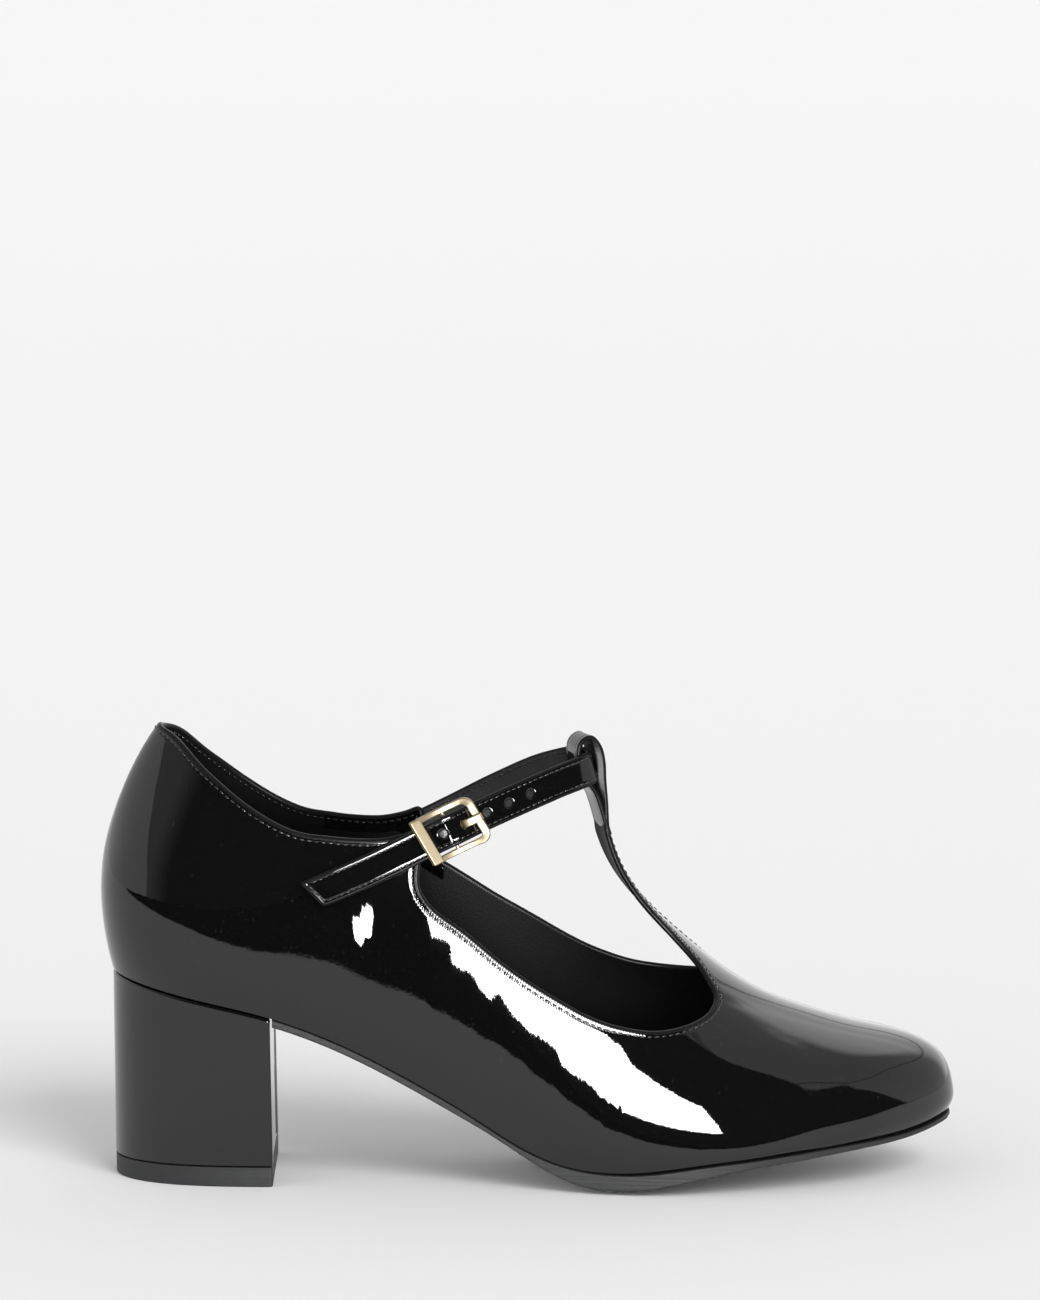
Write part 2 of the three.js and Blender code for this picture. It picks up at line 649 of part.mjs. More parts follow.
// Flat-ish plate following the feather edge. top and bottom: heights at a station
function plate(stations, halfOf, topOf, bottomOf, rows) {
  const points = [];
  const faces = [];
  const n = rows + 1;
  const stack = [];
  stations.forEach((x) => {
    const { left, right } = halfOf(x);
    const top = [];
    const bottom = [];
    for (let j = 0; j < n; j += 1) {
      const q = j / rows;
      const y = left + (right - left) * q;
      top.push(points.push(new THREE.Vector3(x, y, topOf(x, 2 * q - 1))) - 1);
      bottom.push(points.push(new THREE.Vector3(x, y, bottomOf(x, 2 * q - 1))) - 1);
    }
    stack.push({ top, bottom });
  });
  const quad = (a, b, c, d) => faces.push(a, b, c, a, c, d);
  for (let i = 0; i < stack.length - 1; i += 1) {
    const here = stack[i];
    const next = stack[i + 1];
    for (let j = 0; j < rows; j += 1) {
      quad(here.top[j], next.top[j], next.top[j + 1], here.top[j + 1]);
      quad(here.bottom[j], here.bottom[j + 1], next.bottom[j + 1], next.bottom[j]);
    }
    quad(here.bottom[0], next.bottom[0], next.top[0], here.top[0]);
    quad(here.top[rows], next.top[rows], next.bottom[rows], here.bottom[rows]);
  }
  [stack[0], stack[stack.length - 1]].forEach((end, k) => {
    for (let j = 0; j < rows; j += 1) {
      if (k === 0) {
        quad(end.bottom[j], end.top[j], end.top[j + 1], end.bottom[j + 1]);
      } else {
        quad(end.bottom[j], end.bottom[j + 1], end.top[j + 1], end.top[j]);
      }
    }
  });
  return facingOut(geometryOf(points, faces));
}

// Extra thickness under the ball, and how far the tread's edges rise above its middle
const BALL_PAD = 4.1;
const TREAD_CROWN = 1.3;

function outsoleGeometry() {
  const margin = 0.9;
  const stations = [];
  const steps = 52;
  const front = FEATHER_FRONT + margin;
  const back = HEEL_BREAST_X + FIT_GAP;
  for (let i = 0; i <= steps; i += 1) {
    const q = Math.sin(Math.PI / 2 * i / steps);
    stations.push(back + (front - 0.25 - back) * q);
  }
  const sides = (x) => {
    const share = x / SHOE_LENGTH;
    const ends = roundEnd(front - x, TOE_ROUND + margin);
    const half = featherHalf(share) * ends + margin * Math.min(1, 6 * ends) * ramp(-0.3125, 0.0417, share);
    const centre = featherCentre(share);
    return { left: centre - half, right: centre + half };
  };
  const top = (x) => featherRise(Math.min(x, FEATHER_FRONT) / SHOE_LENGTH);
  const bottom = (x, q) => {
    const share = x / SHOE_LENGTH;
    const thick = SOLE_THICKNESS * (1 - 0.25 * ramp(0.25, 0.5042, share));
    const level = top(x) - thick - BALL_PAD * ramp(-0.0625, 0.1, share) * ramp(0.275, 0.0917, share);
    const edge = Math.max(0, Math.abs(q) - 0.25) / 0.75;
    return Math.max(level, 0) + TREAD_CROWN * edge * edge;
  };
  return plate(stations, sides, top, bottom, 8);
}

function insoleGeometry() {
  const stations = [];
  const steps = 56;
  const inset = LEATHER_WALL + FIT_GAP + 0.5;
  const back = FEATHER_BACK + inset;
  const front = FEATHER_FRONT - inset;
  for (let i = 0; i <= steps; i += 1) {
    stations.push(along(i / steps, back + 0.1, front - 0.1));
  }
  const sides = (x) => {
    const ends = roundEnd(x - back, HEEL_ROUND - inset) * roundEnd(front - x, TOE_ROUND - inset);
    const share = x / SHOE_LENGTH;
    const half = (featherHalf(share) - inset) * ends;
    return { left: featherCentre(share) - half, right: featherCentre(share) + half };
  };
  const bottom = (x) => featherRise(x / SHOE_LENGTH) + FIT_GAP + 0.1;
  const top = (x, q) => bottom(x) + INSOLE_THICKNESS + 0.6 * q * q * q * q;
  return plate(stations, sides, top, bottom, 6);
}

// Heel block: D plan, upright back, flat breast, top following the seat
function heelRing(level, rows) {
  const ring = [];
  const top = SEAT_HEIGHT;
  const fall = 1 - level / top;
  const back = FEATHER_BACK + 0.6 * fall;
  const breast = HEEL_BREAST_X - 0.4 + 0.9 * fall;
  for (let i = 0; i <= rows; i += 1) {
    const x = back + (breast - back) * (1 - Math.cos(Math.PI / 2 * i / rows));
    const ends = roundEnd(x - back, HEEL_ROUND);
    const half = featherHalf(x / SHOE_LENGTH) * ends - 0.9 * fall * ends;
    ring.push([x, half]);
  }
  return ring;
}

function blockGeometry(lowAt, highAt, rows) {
  const low = heelRing(0, rows);
  const points = [];
  const faces = [];
  const steps = 6;
  const rings = [];
  const ringAt = (level) => heelRing(level, rows);
  const full = (ring) => ring.map((p) => [p[0], -p[1]]).concat(ring.slice(1).reverse().map((p) => [p[0], p[1]]));
  const base = full(low);
  for (let k = 0; k <= steps; k += 1) {
    const loop = base.map((p, i) => {
      const low0 = lowAt(p[0]);
      const high0 = highAt(p[0]);
      const z = low0 + (high0 - low0) * k / steps;
      const at = full(ringAt(z))[i];
      return new THREE.Vector3(at[0], at[1], z);
    });
    rings.push(loop.map((p) => points.push(p) - 1));
  }
  const n = base.length;
  for (let k = 0; k < steps; k += 1) {
    for (let i = 0; i < n; i += 1) {
      const j = (i + 1) % n;
      faces.push(rings[k][i], rings[k][j], rings[k + 1][j]);
      faces.push(rings[k][i], rings[k + 1][j], rings[k + 1][i]);
    }
  }
  const cap = (ring, flip) => {
    for (let i = 0; i < rows; i += 1) {
      const a = ring[i];
      const b = ring[i + 1];
      const c = ring[(n - 1 - i) % n];
      const d = i === 0 ? ring[0] : ring[n - i];
      const quads = i === 0 ? [[a, b, c]] : [[a, b, c], [a, c, d]];
      quads.forEach(([p, q, r]) => faces.push(...(flip ? [p, r, q] : [p, q, r])));
    }
  };
  cap(rings[0], true);
  cap(rings[steps], false);
  return facingOut(geometryOf(points, faces));
}

function heelGeometry() {
  const high = (x) => featherRise(x / SHOE_LENGTH);
  return blockGeometry(() => TOP_LIFT_THICKNESS + FIT_GAP, high, 16);
}

function topLiftGeometry() {
  return blockGeometry(() => 0, () => TOP_LIFT_THICKNESS, 16);
}

// Frames along the strap by distance from the buckle's middle (plus towards the toe and over to
// the inner side): across is the strap's width, out its outer face
const strapSamples = [];
function prepareStrap() {
  const count = 400;
  const leanAt = curve(STRAP_PATH.map((row, i) => ({ i, lean: row.lean })), 'i', 'lean', 1);
  const line = new THREE.CatmullRomCurve3(STRAP_PATH.map(tablePoint), false, 'centripetal');
  let length = 0;
  let before = null;
  for (let k = 0; k <= count; k += 1) {
    const t = k / count;
    const point = line.getPoint(t);
    const tangent = line.getTangent(t);
    length += before ? point.distanceTo(before) : 0;
    before = point;
    const lean = leanAt(t * (STRAP_PATH.length - 1));
    const side = new THREE.Vector3(tangent.y, -tangent.x, 0).normalize();
    const up = new THREE.Vector3(0, 0, 1).addScaledVector(side, -lean);
    const out = up.clone().cross(tangent).normalize().negate();
    const across = tangent.clone().cross(out).normalize();
    strapSamples.push({ at: length, origin: point, across, out, tangent });
  }
  const middle = strapSamples.find((f) => f.origin.x > BUCKLE_X * SHOE_LENGTH);
  const zero = middle.at;
  strapSamples.forEach((f) => {
    f.at -= zero;
  });
}
prepareStrap();
const STRAP_START = strapSamples[0].at;
const STRAP_END = strapSamples[strapSamples.length - 1].at;

function strapFrame(at) {
  let i = 0;
  while (i < strapSamples.length - 2 && strapSamples[i + 1].at < at) {
    i += 1;
  }
  const a = strapSamples[i];
  const b = strapSamples[i + 1];
  const q = Math.min(Math.max((at - a.at) / (b.at - a.at), 0), 1);
  return {
    origin: a.origin.clone().lerp(b.origin, q),
    across: a.across.clone().lerp(b.across, q).normalize(),
    out: a.out.clone().lerp(b.out, q).normalize(),
    tangent: a.tangent.clone().lerp(b.tangent, q).normalize(),
  };
}

// Rise of the strap over the buckle's pivot bar
function hump(at) {
  const q = Math.min(Math.abs(at) / (BUCKLE_LENGTH / 2), 1);
  return STRAP_HUMP * (1 + Math.cos(Math.PI * q)) / 2;
}

const buckle = strapFrame(0);

// Point in the buckle's frame: along the strap, across it, and out from the strap's base line
function buckled(along3, across3, out3) {
  return buckle.origin.clone()
    .addScaledVector(buckle.tangent, along3)
    .addScaledVector(buckle.across, across3)
    .addScaledVector(buckle.out, out3);
}

// Box in the buckle's frame
function buckleBox(from, to, low, high, halfWidth) {
  const frames = [from, to].map((at) => ({
    origin: buckled(at, 0, 0),
    across: buckle.across,
    out: buckle.out,
  }));
  return sweep(frames, [[-halfWidth, low], [halfWidth, low], [halfWidth, high], [-halfWidth, high]]);
}

// Round peg between two points
function peg(from, to, radius, sides) {
  const axis = to.clone().sub(from).normalize();
  const help = Math.abs(axis.z) > 0.8 ? new THREE.Vector3(1, 0, 0) : new THREE.Vector3(0, 0, 1);
  const a = axis.clone().cross(help).normalize();
  const b = axis.clone().cross(a).normalize();
  const ring = [];
  for (let i = 0; i < sides; i += 1) {
    const t = 2 * Math.PI * i / sides;
    ring.push([radius * Math.cos(t), radius * Math.sin(t)]);
  }
  return sweep([{ origin: from, across: a, out: b }, { origin: to, across: a, out: b }], ring);
}

const PIVOT_OUT = -0.8;
const PRONG_HOLE = 4.4;

function strapGeometry() {
  const half = STRAP_WIDTH / 2;
  const wall = STRAP_THICKNESS / 2;
  const frames = [];
  const steps = 66;
  for (let i = 0; i <= steps; i += 1) {
    const at = STRAP_START + (STRAP_END - STRAP_START) * i / steps;
    const frame = strapFrame(at);
    frame.origin.addScaledVector(frame.out, hump(at));
    frames.push(frame);
  }
  let solid = solidOf(sweep(frames, [[-half, -wall], [half, -wall], [half, wall], [-half, wall]]));
  const slot = buckleBox(PRONG_HOLE - 1.5, PRONG_HOLE + 1.5, -5, 8, PRONG_WIDTH / 2 + FIT_GAP);
  solid = solid.subtract(solidOf(slot));
  [-1, 1, 2, 3].forEach((step) => {
    const at = PRONG_HOLE + HOLE_STEP * step;
    const frame = strapFrame(at);
    const from = frame.origin.clone().addScaledVector(frame.out, -4);
    const to = frame.origin.clone().addScaledVector(frame.out, 6);
    solid = solid.subtract(solidOf(peg(from, to, STRAP_HOLE / 2, 12)));
  });
  return geometryFrom(solid);
}

// Closed ring swept along a loop of points with a round-ish section
function ringSweep(points, normal, wide, tall, sides) {
  const n = points.length;
  const verts = [];
  points.forEach((p, i) => {
    const before = points[(i + n - 1) % n].point;
    const after = points[(i + 1) % n].point;
    const tangent = after.clone().sub(before).normalize();
    const side = tangent.clone().cross(normal).normalize();
    const up = side.clone().cross(tangent).normalize();
    for (let k = 0; k < sides; k += 1) {
      const t = 2 * Math.PI * (k + 0.5) / sides;
      const v = p.point.clone();
      v.addScaledVector(side, wide * p.grow * Math.cos(t) / 2);
      v.addScaledVector(up, tall * Math.sin(t) / 2);
      verts.push(v);
    }
  });
  const faces = [];
  for (let i = 0; i < n; i += 1) {
    const j = (i + 1) % n;
    for (let k = 0; k < sides; k += 1) {
      const m = (k + 1) % sides;
      faces.push(i * sides + k, i * sides + m, j * sides + m);
      faces.push(i * sides + k, j * sides + m, j * sides + k);
    }
  }
  return facingOut(geometryOf(verts, faces));
}

// Round corners at the buckle's strap end, squarer ones at its tip end, and its end bar's wide part
const BUCKLE_CORNER = 2.2;
const BUCKLE_SQUARE = 0.8;
const BUCKLE_END_BAR = 2 * (BUCKLE_WIDTH / 2 - BUCKLE_BAR / 2 - 2);

function frameLevel(at) {
  const q = at / (BUCKLE_LENGTH / 2);
  return PIVOT_OUT + BUCKLE_BOW * q * q;
}

function buckleFrameGeometry() {
  const x = BUCKLE_LENGTH / 2 - BUCKLE_BAR / 2;
  const y = BUCKLE_WIDTH / 2 - BUCKLE_BAR / 2;
  const loop = [];
  const put = (a, b, grow) => loop.push({ point: buckled(a, b, frameLevel(a)), grow });
  const corner = BUCKLE_CORNER;
  const square = BUCKLE_SQUARE;
  for (let i = 0; i < 8; i += 1) {
    put(-x + square + (2 * x - corner - square) * i / 8, -y, 1);
  }
  for (let i = 0; i <= 5; i += 1) {
    const t = -Math.PI / 2 + Math.PI / 2 * i / 5;
    put(x - corner + corner * Math.cos(t), -y + corner + corner * Math.sin(t), 1 + 0.25 * i / 5);
  }
  put(x, 0, 1.4);
  for (let i = 0; i <= 5; i += 1) {
    const t = Math.PI / 2 * i / 5;
    put(x - corner + corner * Math.cos(t), y - corner + corner * Math.sin(t), 1.25 - 0.25 * i / 5);
  }
  for (let i = 1; i <= 8; i += 1) {
    put(x - corner - (2 * x - corner - square) * i / 8, y, 1);
  }
  for (let i = 1; i <= 3; i += 1) {
    const t = Math.PI / 2 + Math.PI / 2 * i / 3;
    put(-x + square + square * Math.cos(t), y - square + square * Math.sin(t), 1.1);
  }
  put(-x, BUCKLE_END_BAR / 2, 1.25);
  put(-x, 0, 1.3);
  put(-x, -BUCKLE_END_BAR / 2, 1.25);
  for (let i = 0; i < 3; i += 1) {
    const t = Math.PI + Math.PI / 2 * i / 3;
    put(-x + square + square * Math.cos(t), -y + square + square * Math.sin(t), 1.1);
  }
  const ring = solidOf(ringSweep(loop, buckle.out, BUCKLE_BAR, BUCKLE_BAR, 8));
  const from = buckled(0, -y, frameLevel(0));
  const to = buckled(0, y, frameLevel(0));
  const bar = solidOf(peg(from, to, PIVOT_BAR / 2, 10));
  return geometryFrom(ring.add(bar));
}

// Short strip from the outer wing to the pivot bar and round it
function tabGeometry() {
  const half = STRAP_WIDTH / 2 - 0.6;
  const frames = [];
  const reach = PIVOT_BAR / 2 + 0.25 + TAB_WRAP / 2;
  const start = -26;
  const stop = -3.2;
  for (let i = 0; i <= 9; i += 1) {
    const at = start + (stop - start) * i / 9;
    const base = strapFrame(at);
    const near = ramp(-10, -3.2, at);
    const level = -(STRAP_THICKNESS / 2 + FIT_GAP + TAB_THICKNESS / 2);
    const low = level + (PIVOT_OUT - reach - level) * near;
    frames.push({ origin: base.origin.clone().addScaledVector(base.out, low), across: base.across, out: base.out });
  }
  const last = frames.length;
  for (let i = 0; i <= 12; i += 1) {
    const t = -Math.PI / 2 + Math.PI * 1.18 * i / 12;
    const radial = buckle.tangent.clone().multiplyScalar(Math.cos(t)).addScaledVector(buckle.out, Math.sin(t));
    frames.push({
      origin: buckled(reach * Math.cos(t), 0, PIVOT_OUT + reach * Math.sin(t)),
      across: buckle.across,
      out: radial.negate(),
    });
  }
  const points = frames.map((f, i) => {
    const thick = i < last ? TAB_THICKNESS + (TAB_WRAP - TAB_THICKNESS) * ramp(3, last - 1, i) : TAB_WRAP;
    return { f, thick };
  });
  const verts = [];
  points.forEach(({ f, thick }) => {
    [[-half, -1], [half, -1], [half, 1], [-half, 1]].forEach(([a, b]) => {
      verts.push(f.origin.clone().addScaledVector(f.across, a).addScaledVector(f.out, b * thick / 2));
    });
  });
  const faces = [];
  const n = frames.length;
  for (let i = 0; i < n - 1; i += 1) {
    for (let j = 0; j < 4; j += 1) {
      const k = (j + 1) % 4;
      faces.push(i * 4 + j, i * 4 + k, i * 4 + 4 + k);
      faces.push(i * 4 + j, i * 4 + 4 + k, i * 4 + 4 + j);
    }
  }
  faces.push(0, 2, 1, 0, 3, 2);
  const e = (n - 1) * 4;
  faces.push(e, e + 1, e + 2, e, e + 2, e + 3);
  const solid = solidOf(facingOut(geometryOf(verts, faces)));
  const slot = buckleBox(-2.6, 4, -6, 4, PRONG_WIDTH / 2 + FIT_GAP);
  return geometryFrom(solid.subtract(solidOf(slot)));
}

// Prong: a ring round the pivot bar and a tongue up through the strap's hole to the end bar
function prongGeometry() {
  const reach = PIVOT_BAR / 2 + 0.2 + PRONG_THICKNESS / 2;
  const path = [];
  for (let i = 0; i <= 9; i += 1) {
    const t = Math.PI * 0.42 + Math.PI * 1.4 * i / 9;
    path.push([reach * Math.cos(t), PIVOT_OUT + reach * Math.sin(t)]);
  }
  const rest = frameLevel(BUCKLE_LENGTH / 2 - BUCKLE_BAR / 2) + BUCKLE_BAR / 2 + 0.45 + PRONG_THICKNESS / 2;
  path.push([2.2, PIVOT_OUT - 0.1]);
  path.push([3.2, PIVOT_OUT + 0.35]);
  path.push([4.2, PIVOT_OUT + 1.6]);
  path.push([5.2, PIVOT_OUT + 3.1]);
  path.push([6.4, rest - 0.15]);
  path.push([7.6, rest]);
  path.push([9.0, rest]);
  const points = path.map(([a, b]) => buckled(a, 0, b));
  const frames = smooth(points, 40).map(({ point, tangent }) => ({
    origin: point,
    across: buckle.across,
    out: tangent.clone().cross(buckle.across).normalize().negate(),
  }));
  const half = PRONG_WIDTH / 2;
  const wall = PRONG_THICKNESS / 2;
  return sweep(frames, [[-half, -wall], [half, -wall], [half, wall], [-half, wall]]);
}

const patent = { color: 0x0b0b0d, roughness: 0.08, metalness: 0 };
const group = new THREE.Group();
group.name = 't_strap_shoe';

function addNode(name, geometry, look) {
  const plain = geometry.clone();
  plain.deleteAttribute('normal');
  const merged = mergeVertices(plain, 1e-4);
  merged.computeVertexNormals();
  const mesh = new THREE.Mesh(merged, new THREE.MeshStandardMaterial(look));
  mesh.name = name;
  group.add(mesh);
}

addNode('upper', upperGeometry(), patent);
addNode('insole', insoleGeometry(), { color: 0x15151a, roughness: 0.7, metalness: 0 });
addNode('outsole', outsoleGeometry(), { color: 0x26272a, roughness: 0.75, metalness: 0 });
addNode('heel', heelGeometry(), { color: 0x101013, roughness: 0.1, metalness: 0 });
addNode('top_lift', topLiftGeometry(), { color: 0x303134, roughness: 0.85, metalness: 0 });
addNode('ankle_strap', strapGeometry(), { color: 0x0d0d10, roughness: 0.12, metalness: 0 });
addNode('buckle_tab', tabGeometry(), { color: 0x0d0d10, roughness: 0.12, metalness: 0 });
addNode('buckle_frame', buckleFrameGeometry(), { color: 0xd9c290, roughness: 0.3, metalness: 1 });
addNode('buckle_prong', prongGeometry(), { color: 0xd9c290, roughness: 0.3, metalness: 1 });

// Centre the object over the origin, standing on z = 0
const box = new THREE.Box3().setFromObject(group);
const middle = box.getCenter(new THREE.Vector3());
group.children.forEach((mesh) => {
  mesh.geometry.translate(-middle.x, -middle.y, -box.min.z);
});

export default group;
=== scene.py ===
"""Right T-strap shoe with a block heel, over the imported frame. Millimetres until a mesh is made."""
import logging
import math
from dataclasses import dataclass, field
from enum import Enum
from typing import Callable, Optional, Sequence

import bpy
import numpy as np
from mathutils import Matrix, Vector
from mathutils.geometry import delaunay_2d_cdt


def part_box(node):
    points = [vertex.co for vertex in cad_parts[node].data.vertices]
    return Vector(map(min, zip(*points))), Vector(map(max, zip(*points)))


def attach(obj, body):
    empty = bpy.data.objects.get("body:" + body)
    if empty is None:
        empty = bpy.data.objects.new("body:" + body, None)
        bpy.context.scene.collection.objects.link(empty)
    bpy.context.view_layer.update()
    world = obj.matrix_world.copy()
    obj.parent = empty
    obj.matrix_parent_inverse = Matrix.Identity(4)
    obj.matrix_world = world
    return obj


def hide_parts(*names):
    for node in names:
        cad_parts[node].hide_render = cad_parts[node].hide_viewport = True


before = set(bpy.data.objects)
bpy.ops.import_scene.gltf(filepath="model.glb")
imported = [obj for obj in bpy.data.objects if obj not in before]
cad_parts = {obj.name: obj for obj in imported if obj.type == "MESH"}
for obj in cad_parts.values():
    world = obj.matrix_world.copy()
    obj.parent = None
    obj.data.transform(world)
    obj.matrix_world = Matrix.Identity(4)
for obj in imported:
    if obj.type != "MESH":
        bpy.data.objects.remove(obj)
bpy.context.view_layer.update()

log = logging.getLogger("t_strap_shoe")
MM = 0.001
Array = np.ndarray
Material = bpy.types.Material
Piece = bpy.types.Object
Socket = bpy.types.NodeSocket
Tree = bpy.types.NodeTree

SHOE_LENGTH = 240.0
BALL_WIDTH = 77.0
SEAT_HEIGHT = 58.5
COUNTER_HEIGHT = 129.5
SOLE_BREAST = -71.7
TINY = 1e-12
WELD_STEPS = 2000

# The model's middle sits over the origin; the tables below are measured before that move.
SHIFT = np.array([
    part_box("outsole")[0][0] / MM - SOLE_BREAST,
    (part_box("top_lift")[0][1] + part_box("top_lift")[1][1]) / 2 / MM,
    0.0,
])

# Feather edge: at (share of length), half width, centre (shares of ball width), rise (share of seat height)
FEATHER = (
    (-0.4896, 0.325, 0.0, 1.0), (-0.396, 0.333, 0.0, 0.912), (-0.304, 0.344, 0.0, 0.824),
    (-0.219, 0.331, -0.008, 0.692), (-0.125, 0.312, -0.04, 0.494), (-0.032, 0.337, -0.062, 0.285),
    (0.0375, 0.378, -0.06, 0.158), (0.108, 0.44, -0.046, 0.122), (0.2, 0.5, -0.021, 0.144),
    (0.296, 0.476, 0.004, 0.184), (0.39, 0.398, 0.03, 0.223), (0.4625, 0.325, 0.04, 0.256),
    (0.4975, 0.305, 0.045, 0.29),
)
# Widest line: at, half, centre, outer and inner height (shares of counter height)
GIRTH = (
    (-0.5033, 0.364, 0.0, 0.633, 0.633), (-0.417, 0.36, 0.0, 0.583, 0.587), (-0.3125, 0.368, 0.0, 0.513, 0.532),
    (-0.229, 0.356, 0.0, 0.468, 0.497), (-0.167, 0.345, -0.009, 0.394, 0.45),
    (-0.083, 0.354, -0.023, 0.296, 0.371), (0.0, 0.39, -0.029, 0.19, 0.272),
    (0.083, 0.447, -0.031, 0.088, 0.172), (0.167, 0.499, -0.027, 0.069, 0.112),
    (0.229, 0.515, -0.013, 0.082, 0.1), (0.3, 0.49, 0.002, 0.103, 0.113), (0.354, 0.441, 0.018, 0.128, 0.133),
    (0.417, 0.39, 0.032, 0.147, 0.15), (0.458, 0.348, 0.039, 0.157, 0.158), (0.5058, 0.318, 0.045, 0.17, 0.17),
)
# Crown of each rib: rib (0 heel to 1 toe), at, rise (share of counter height), side (share of width), full
CROWN = (
    (0.0, -0.5033, 0.633, 0.0, -0.25), (0.05, -0.4998, 0.709, 0.0, -0.25), (0.1, -0.4875, 0.797, 0.0, -0.27),
    (0.15, -0.4675, 0.889, 0.0, -0.3), (0.2, -0.4354, 0.99, 0.0, -0.3), (0.25, -0.3833, 1.085, 0.0, -0.25),
    (0.3, -0.3, 1.158, 0.0, -0.15), (0.35, -0.1917, 1.19, 0.0, -0.05), (0.4, -0.075, 1.158, 0.0, 0.0),
    (0.45, 0.022, 1.062, 0.0, 0.0), (0.5, 0.0775, 0.876, 0.0, 0.0), (0.55, 0.108, 0.687, 0.01, 0.0),
    (0.6, 0.177, 0.533, 0.03, 0.0), (0.65, 0.26, 0.414, 0.04, 0.02), (0.7, 0.33, 0.359, 0.045, 0.06),
    (0.75, 0.384, 0.33, 0.045, 0.1), (0.8, 0.426, 0.313, 0.045, 0.12), (0.85, 0.46, 0.294, 0.045, 0.1),
    (0.9, 0.487, 0.263, 0.045, 0.06), (0.95, 0.5008, 0.22, 0.045, 0.02), (1.0, 0.5058, 0.17, 0.045, 0.0),
)
# Cut edge of the upper as (rib, turn): collar from the back forwards, side opening, edge of the T-bar upwards
OUTER_COLLAR = (
    (0.2030, 1.5708), (0.2054, 1.3503), (0.2215, 1.0500), (0.2391, 0.8096), (0.2600, 0.6489), (0.2784, 0.5521),
    (0.3006, 0.4740), (0.3206, 0.4321), (0.3385, 0.4256), (0.3559, 0.4348), (0.3762, 0.4673), (0.3915, 0.5144),
    (0.3993, 0.5463),
)
OUTER_OPENING = (
    (0.4038, 0.5121), (0.4075, 0.3933), (0.4157, 0.3588), (0.4256, 0.3470), (0.4399, 0.3448), (0.4695, 0.3430),
    (0.4915, 0.3641), (0.5134, 0.4020), (0.5362, 0.4514), (0.5601, 0.5170), (0.5925, 0.6273), (0.6148, 0.7699),
    (0.6274, 0.9345),
)
OUTER_TBAR = (
    (0.6292, 1.0984), (0.6235, 1.1800), (0.6174, 1.2635), (0.6093, 1.3263), (0.6013, 1.3602), (0.5959, 1.3797),
    (0.5876, 1.3950), (0.5759, 1.4033), (0.5625, 1.4114), (0.5449, 1.4195), (0.5300, 1.4225),
)
INNER_COLLAR = (
    (0.2054, 1.7914), (0.2215, 2.0900), (0.2390, 2.3350), (0.2599, 2.4997), (0.2783, 2.6011), (0.3006, 2.6856),
    (0.3228, 2.7327), (0.3438, 2.7410), (0.3629, 2.7333), (0.3841, 2.7025), (0.4005, 2.6527), (0.4090, 2.6172),
)
INNER_OPENING = (
    (0.4128, 2.6517), (0.4124, 2.7232), (0.4197, 2.7534), (0.4348, 2.7608), (0.4650, 2.7471), (0.4875, 2.7097),
    (0.5204, 2.6276), (0.5541, 2.5163), (0.5826, 2.3997), (0.6070, 2.2334), (0.6223, 2.0600),
)
INNER_TBAR = (
    (0.6270, 1.9400), (0.6227, 1.8700), (0.6169, 1.7944), (0.6092, 1.7329), (0.6018, 1.7046), (0.5969, 1.6902),
    (0.5894, 1.6853), (0.5792, 1.6941), (0.5682, 1.7064), (0.5555, 1.7216), (0.5383, 1.7418), (0.5300, 1.7500),
)
# Middle of the band that folds over the strap at the top of the T-bar: at, rise
LOOP_PATH = (
    (0.0857, 0.838), (0.0842, 0.873), (0.0832, 0.91), (0.0785, 0.944), (0.068, 0.965), (0.0562, 0.953),
    (0.054, 0.917), (0.0632, 0.876), (0.0755, 0.841), (0.0822, 0.807), (0.0872, 0.775), (0.0915, 0.75),
)
# Ankle strap's middle from its loose end to the inner wing: at, side, rise, lean
STRAP_PATH = (
    (-0.252, -0.3868, 0.649, 0.08), (-0.2, -0.3705, 0.689, 0.09), (-0.1458, -0.3542, 0.7345, 0.12),
    (-0.0905, -0.3316, 0.7845, 0.14), (-0.0292, -0.2727, 0.8325, 0.18), (0.0333, -0.1792, 0.8755, 0.26),
    (0.0755, -0.0779, 0.901, 0.28), (0.0695, 0.0, 0.906, 0.28), (0.0608, 0.0779, 0.903, 0.28),
    (0.0188, 0.1623, 0.8775, 0.24), (-0.0333, 0.2442, 0.828, 0.16), (-0.0792, 0.289, 0.7815, 0.13),
    (-0.125, 0.3112, 0.738, 0.12), (-0.175, 0.3325, 0.6919, 0.1),
)

# Soft creases pressed into the upper: middle, direction, reach along, reach across, depth
CREASES = (
    ((60.3, -14.2, 50.4), (0.8, 0.45, -0.4), 16.0, 2.2, 0.1),
    ((75.1, -20.4, 40.9), (0.85, -0.1, -0.5), 12.0, 2.0, 0.08),
    ((96.2, -12.8, 38.9), (0.9, 0.1, -0.3), 14.0, 2.6, 0.07),
    ((-9.3, -29.3, 56.2), (0.45, 0.0, 0.89), 7.0, 3.0, 0.05),
    ((13.6, -31.3, 51.2), (0.5, 0.0, 0.87), 6.0, 2.6, 0.06),
    ((27.0, -34.4, 38.9), (0.4, 0.0, 0.9), 7.0, 3.0, 0.05),
    ((23.9, -36.7, 25.7), (0.6, 0.0, 0.8), 6.0, 2.6, 0.07),
    ((-21.7, -27.7, 65.3), (0.3, 0.0, 0.95), 8.0, 3.0, -0.05),
    ((9.1, -33.0, 37.8), (0.5, 0.0, 0.85), 8.0, 3.4, -0.06),
    ((-24.0, -27.0, 56.0), (0.62, 0.0, 0.78), 5.0, 2.2, 0.05),
)


class Side(Enum):
    """The two sides of the right shoe."""

    OUTER = -1
    INNER = 1


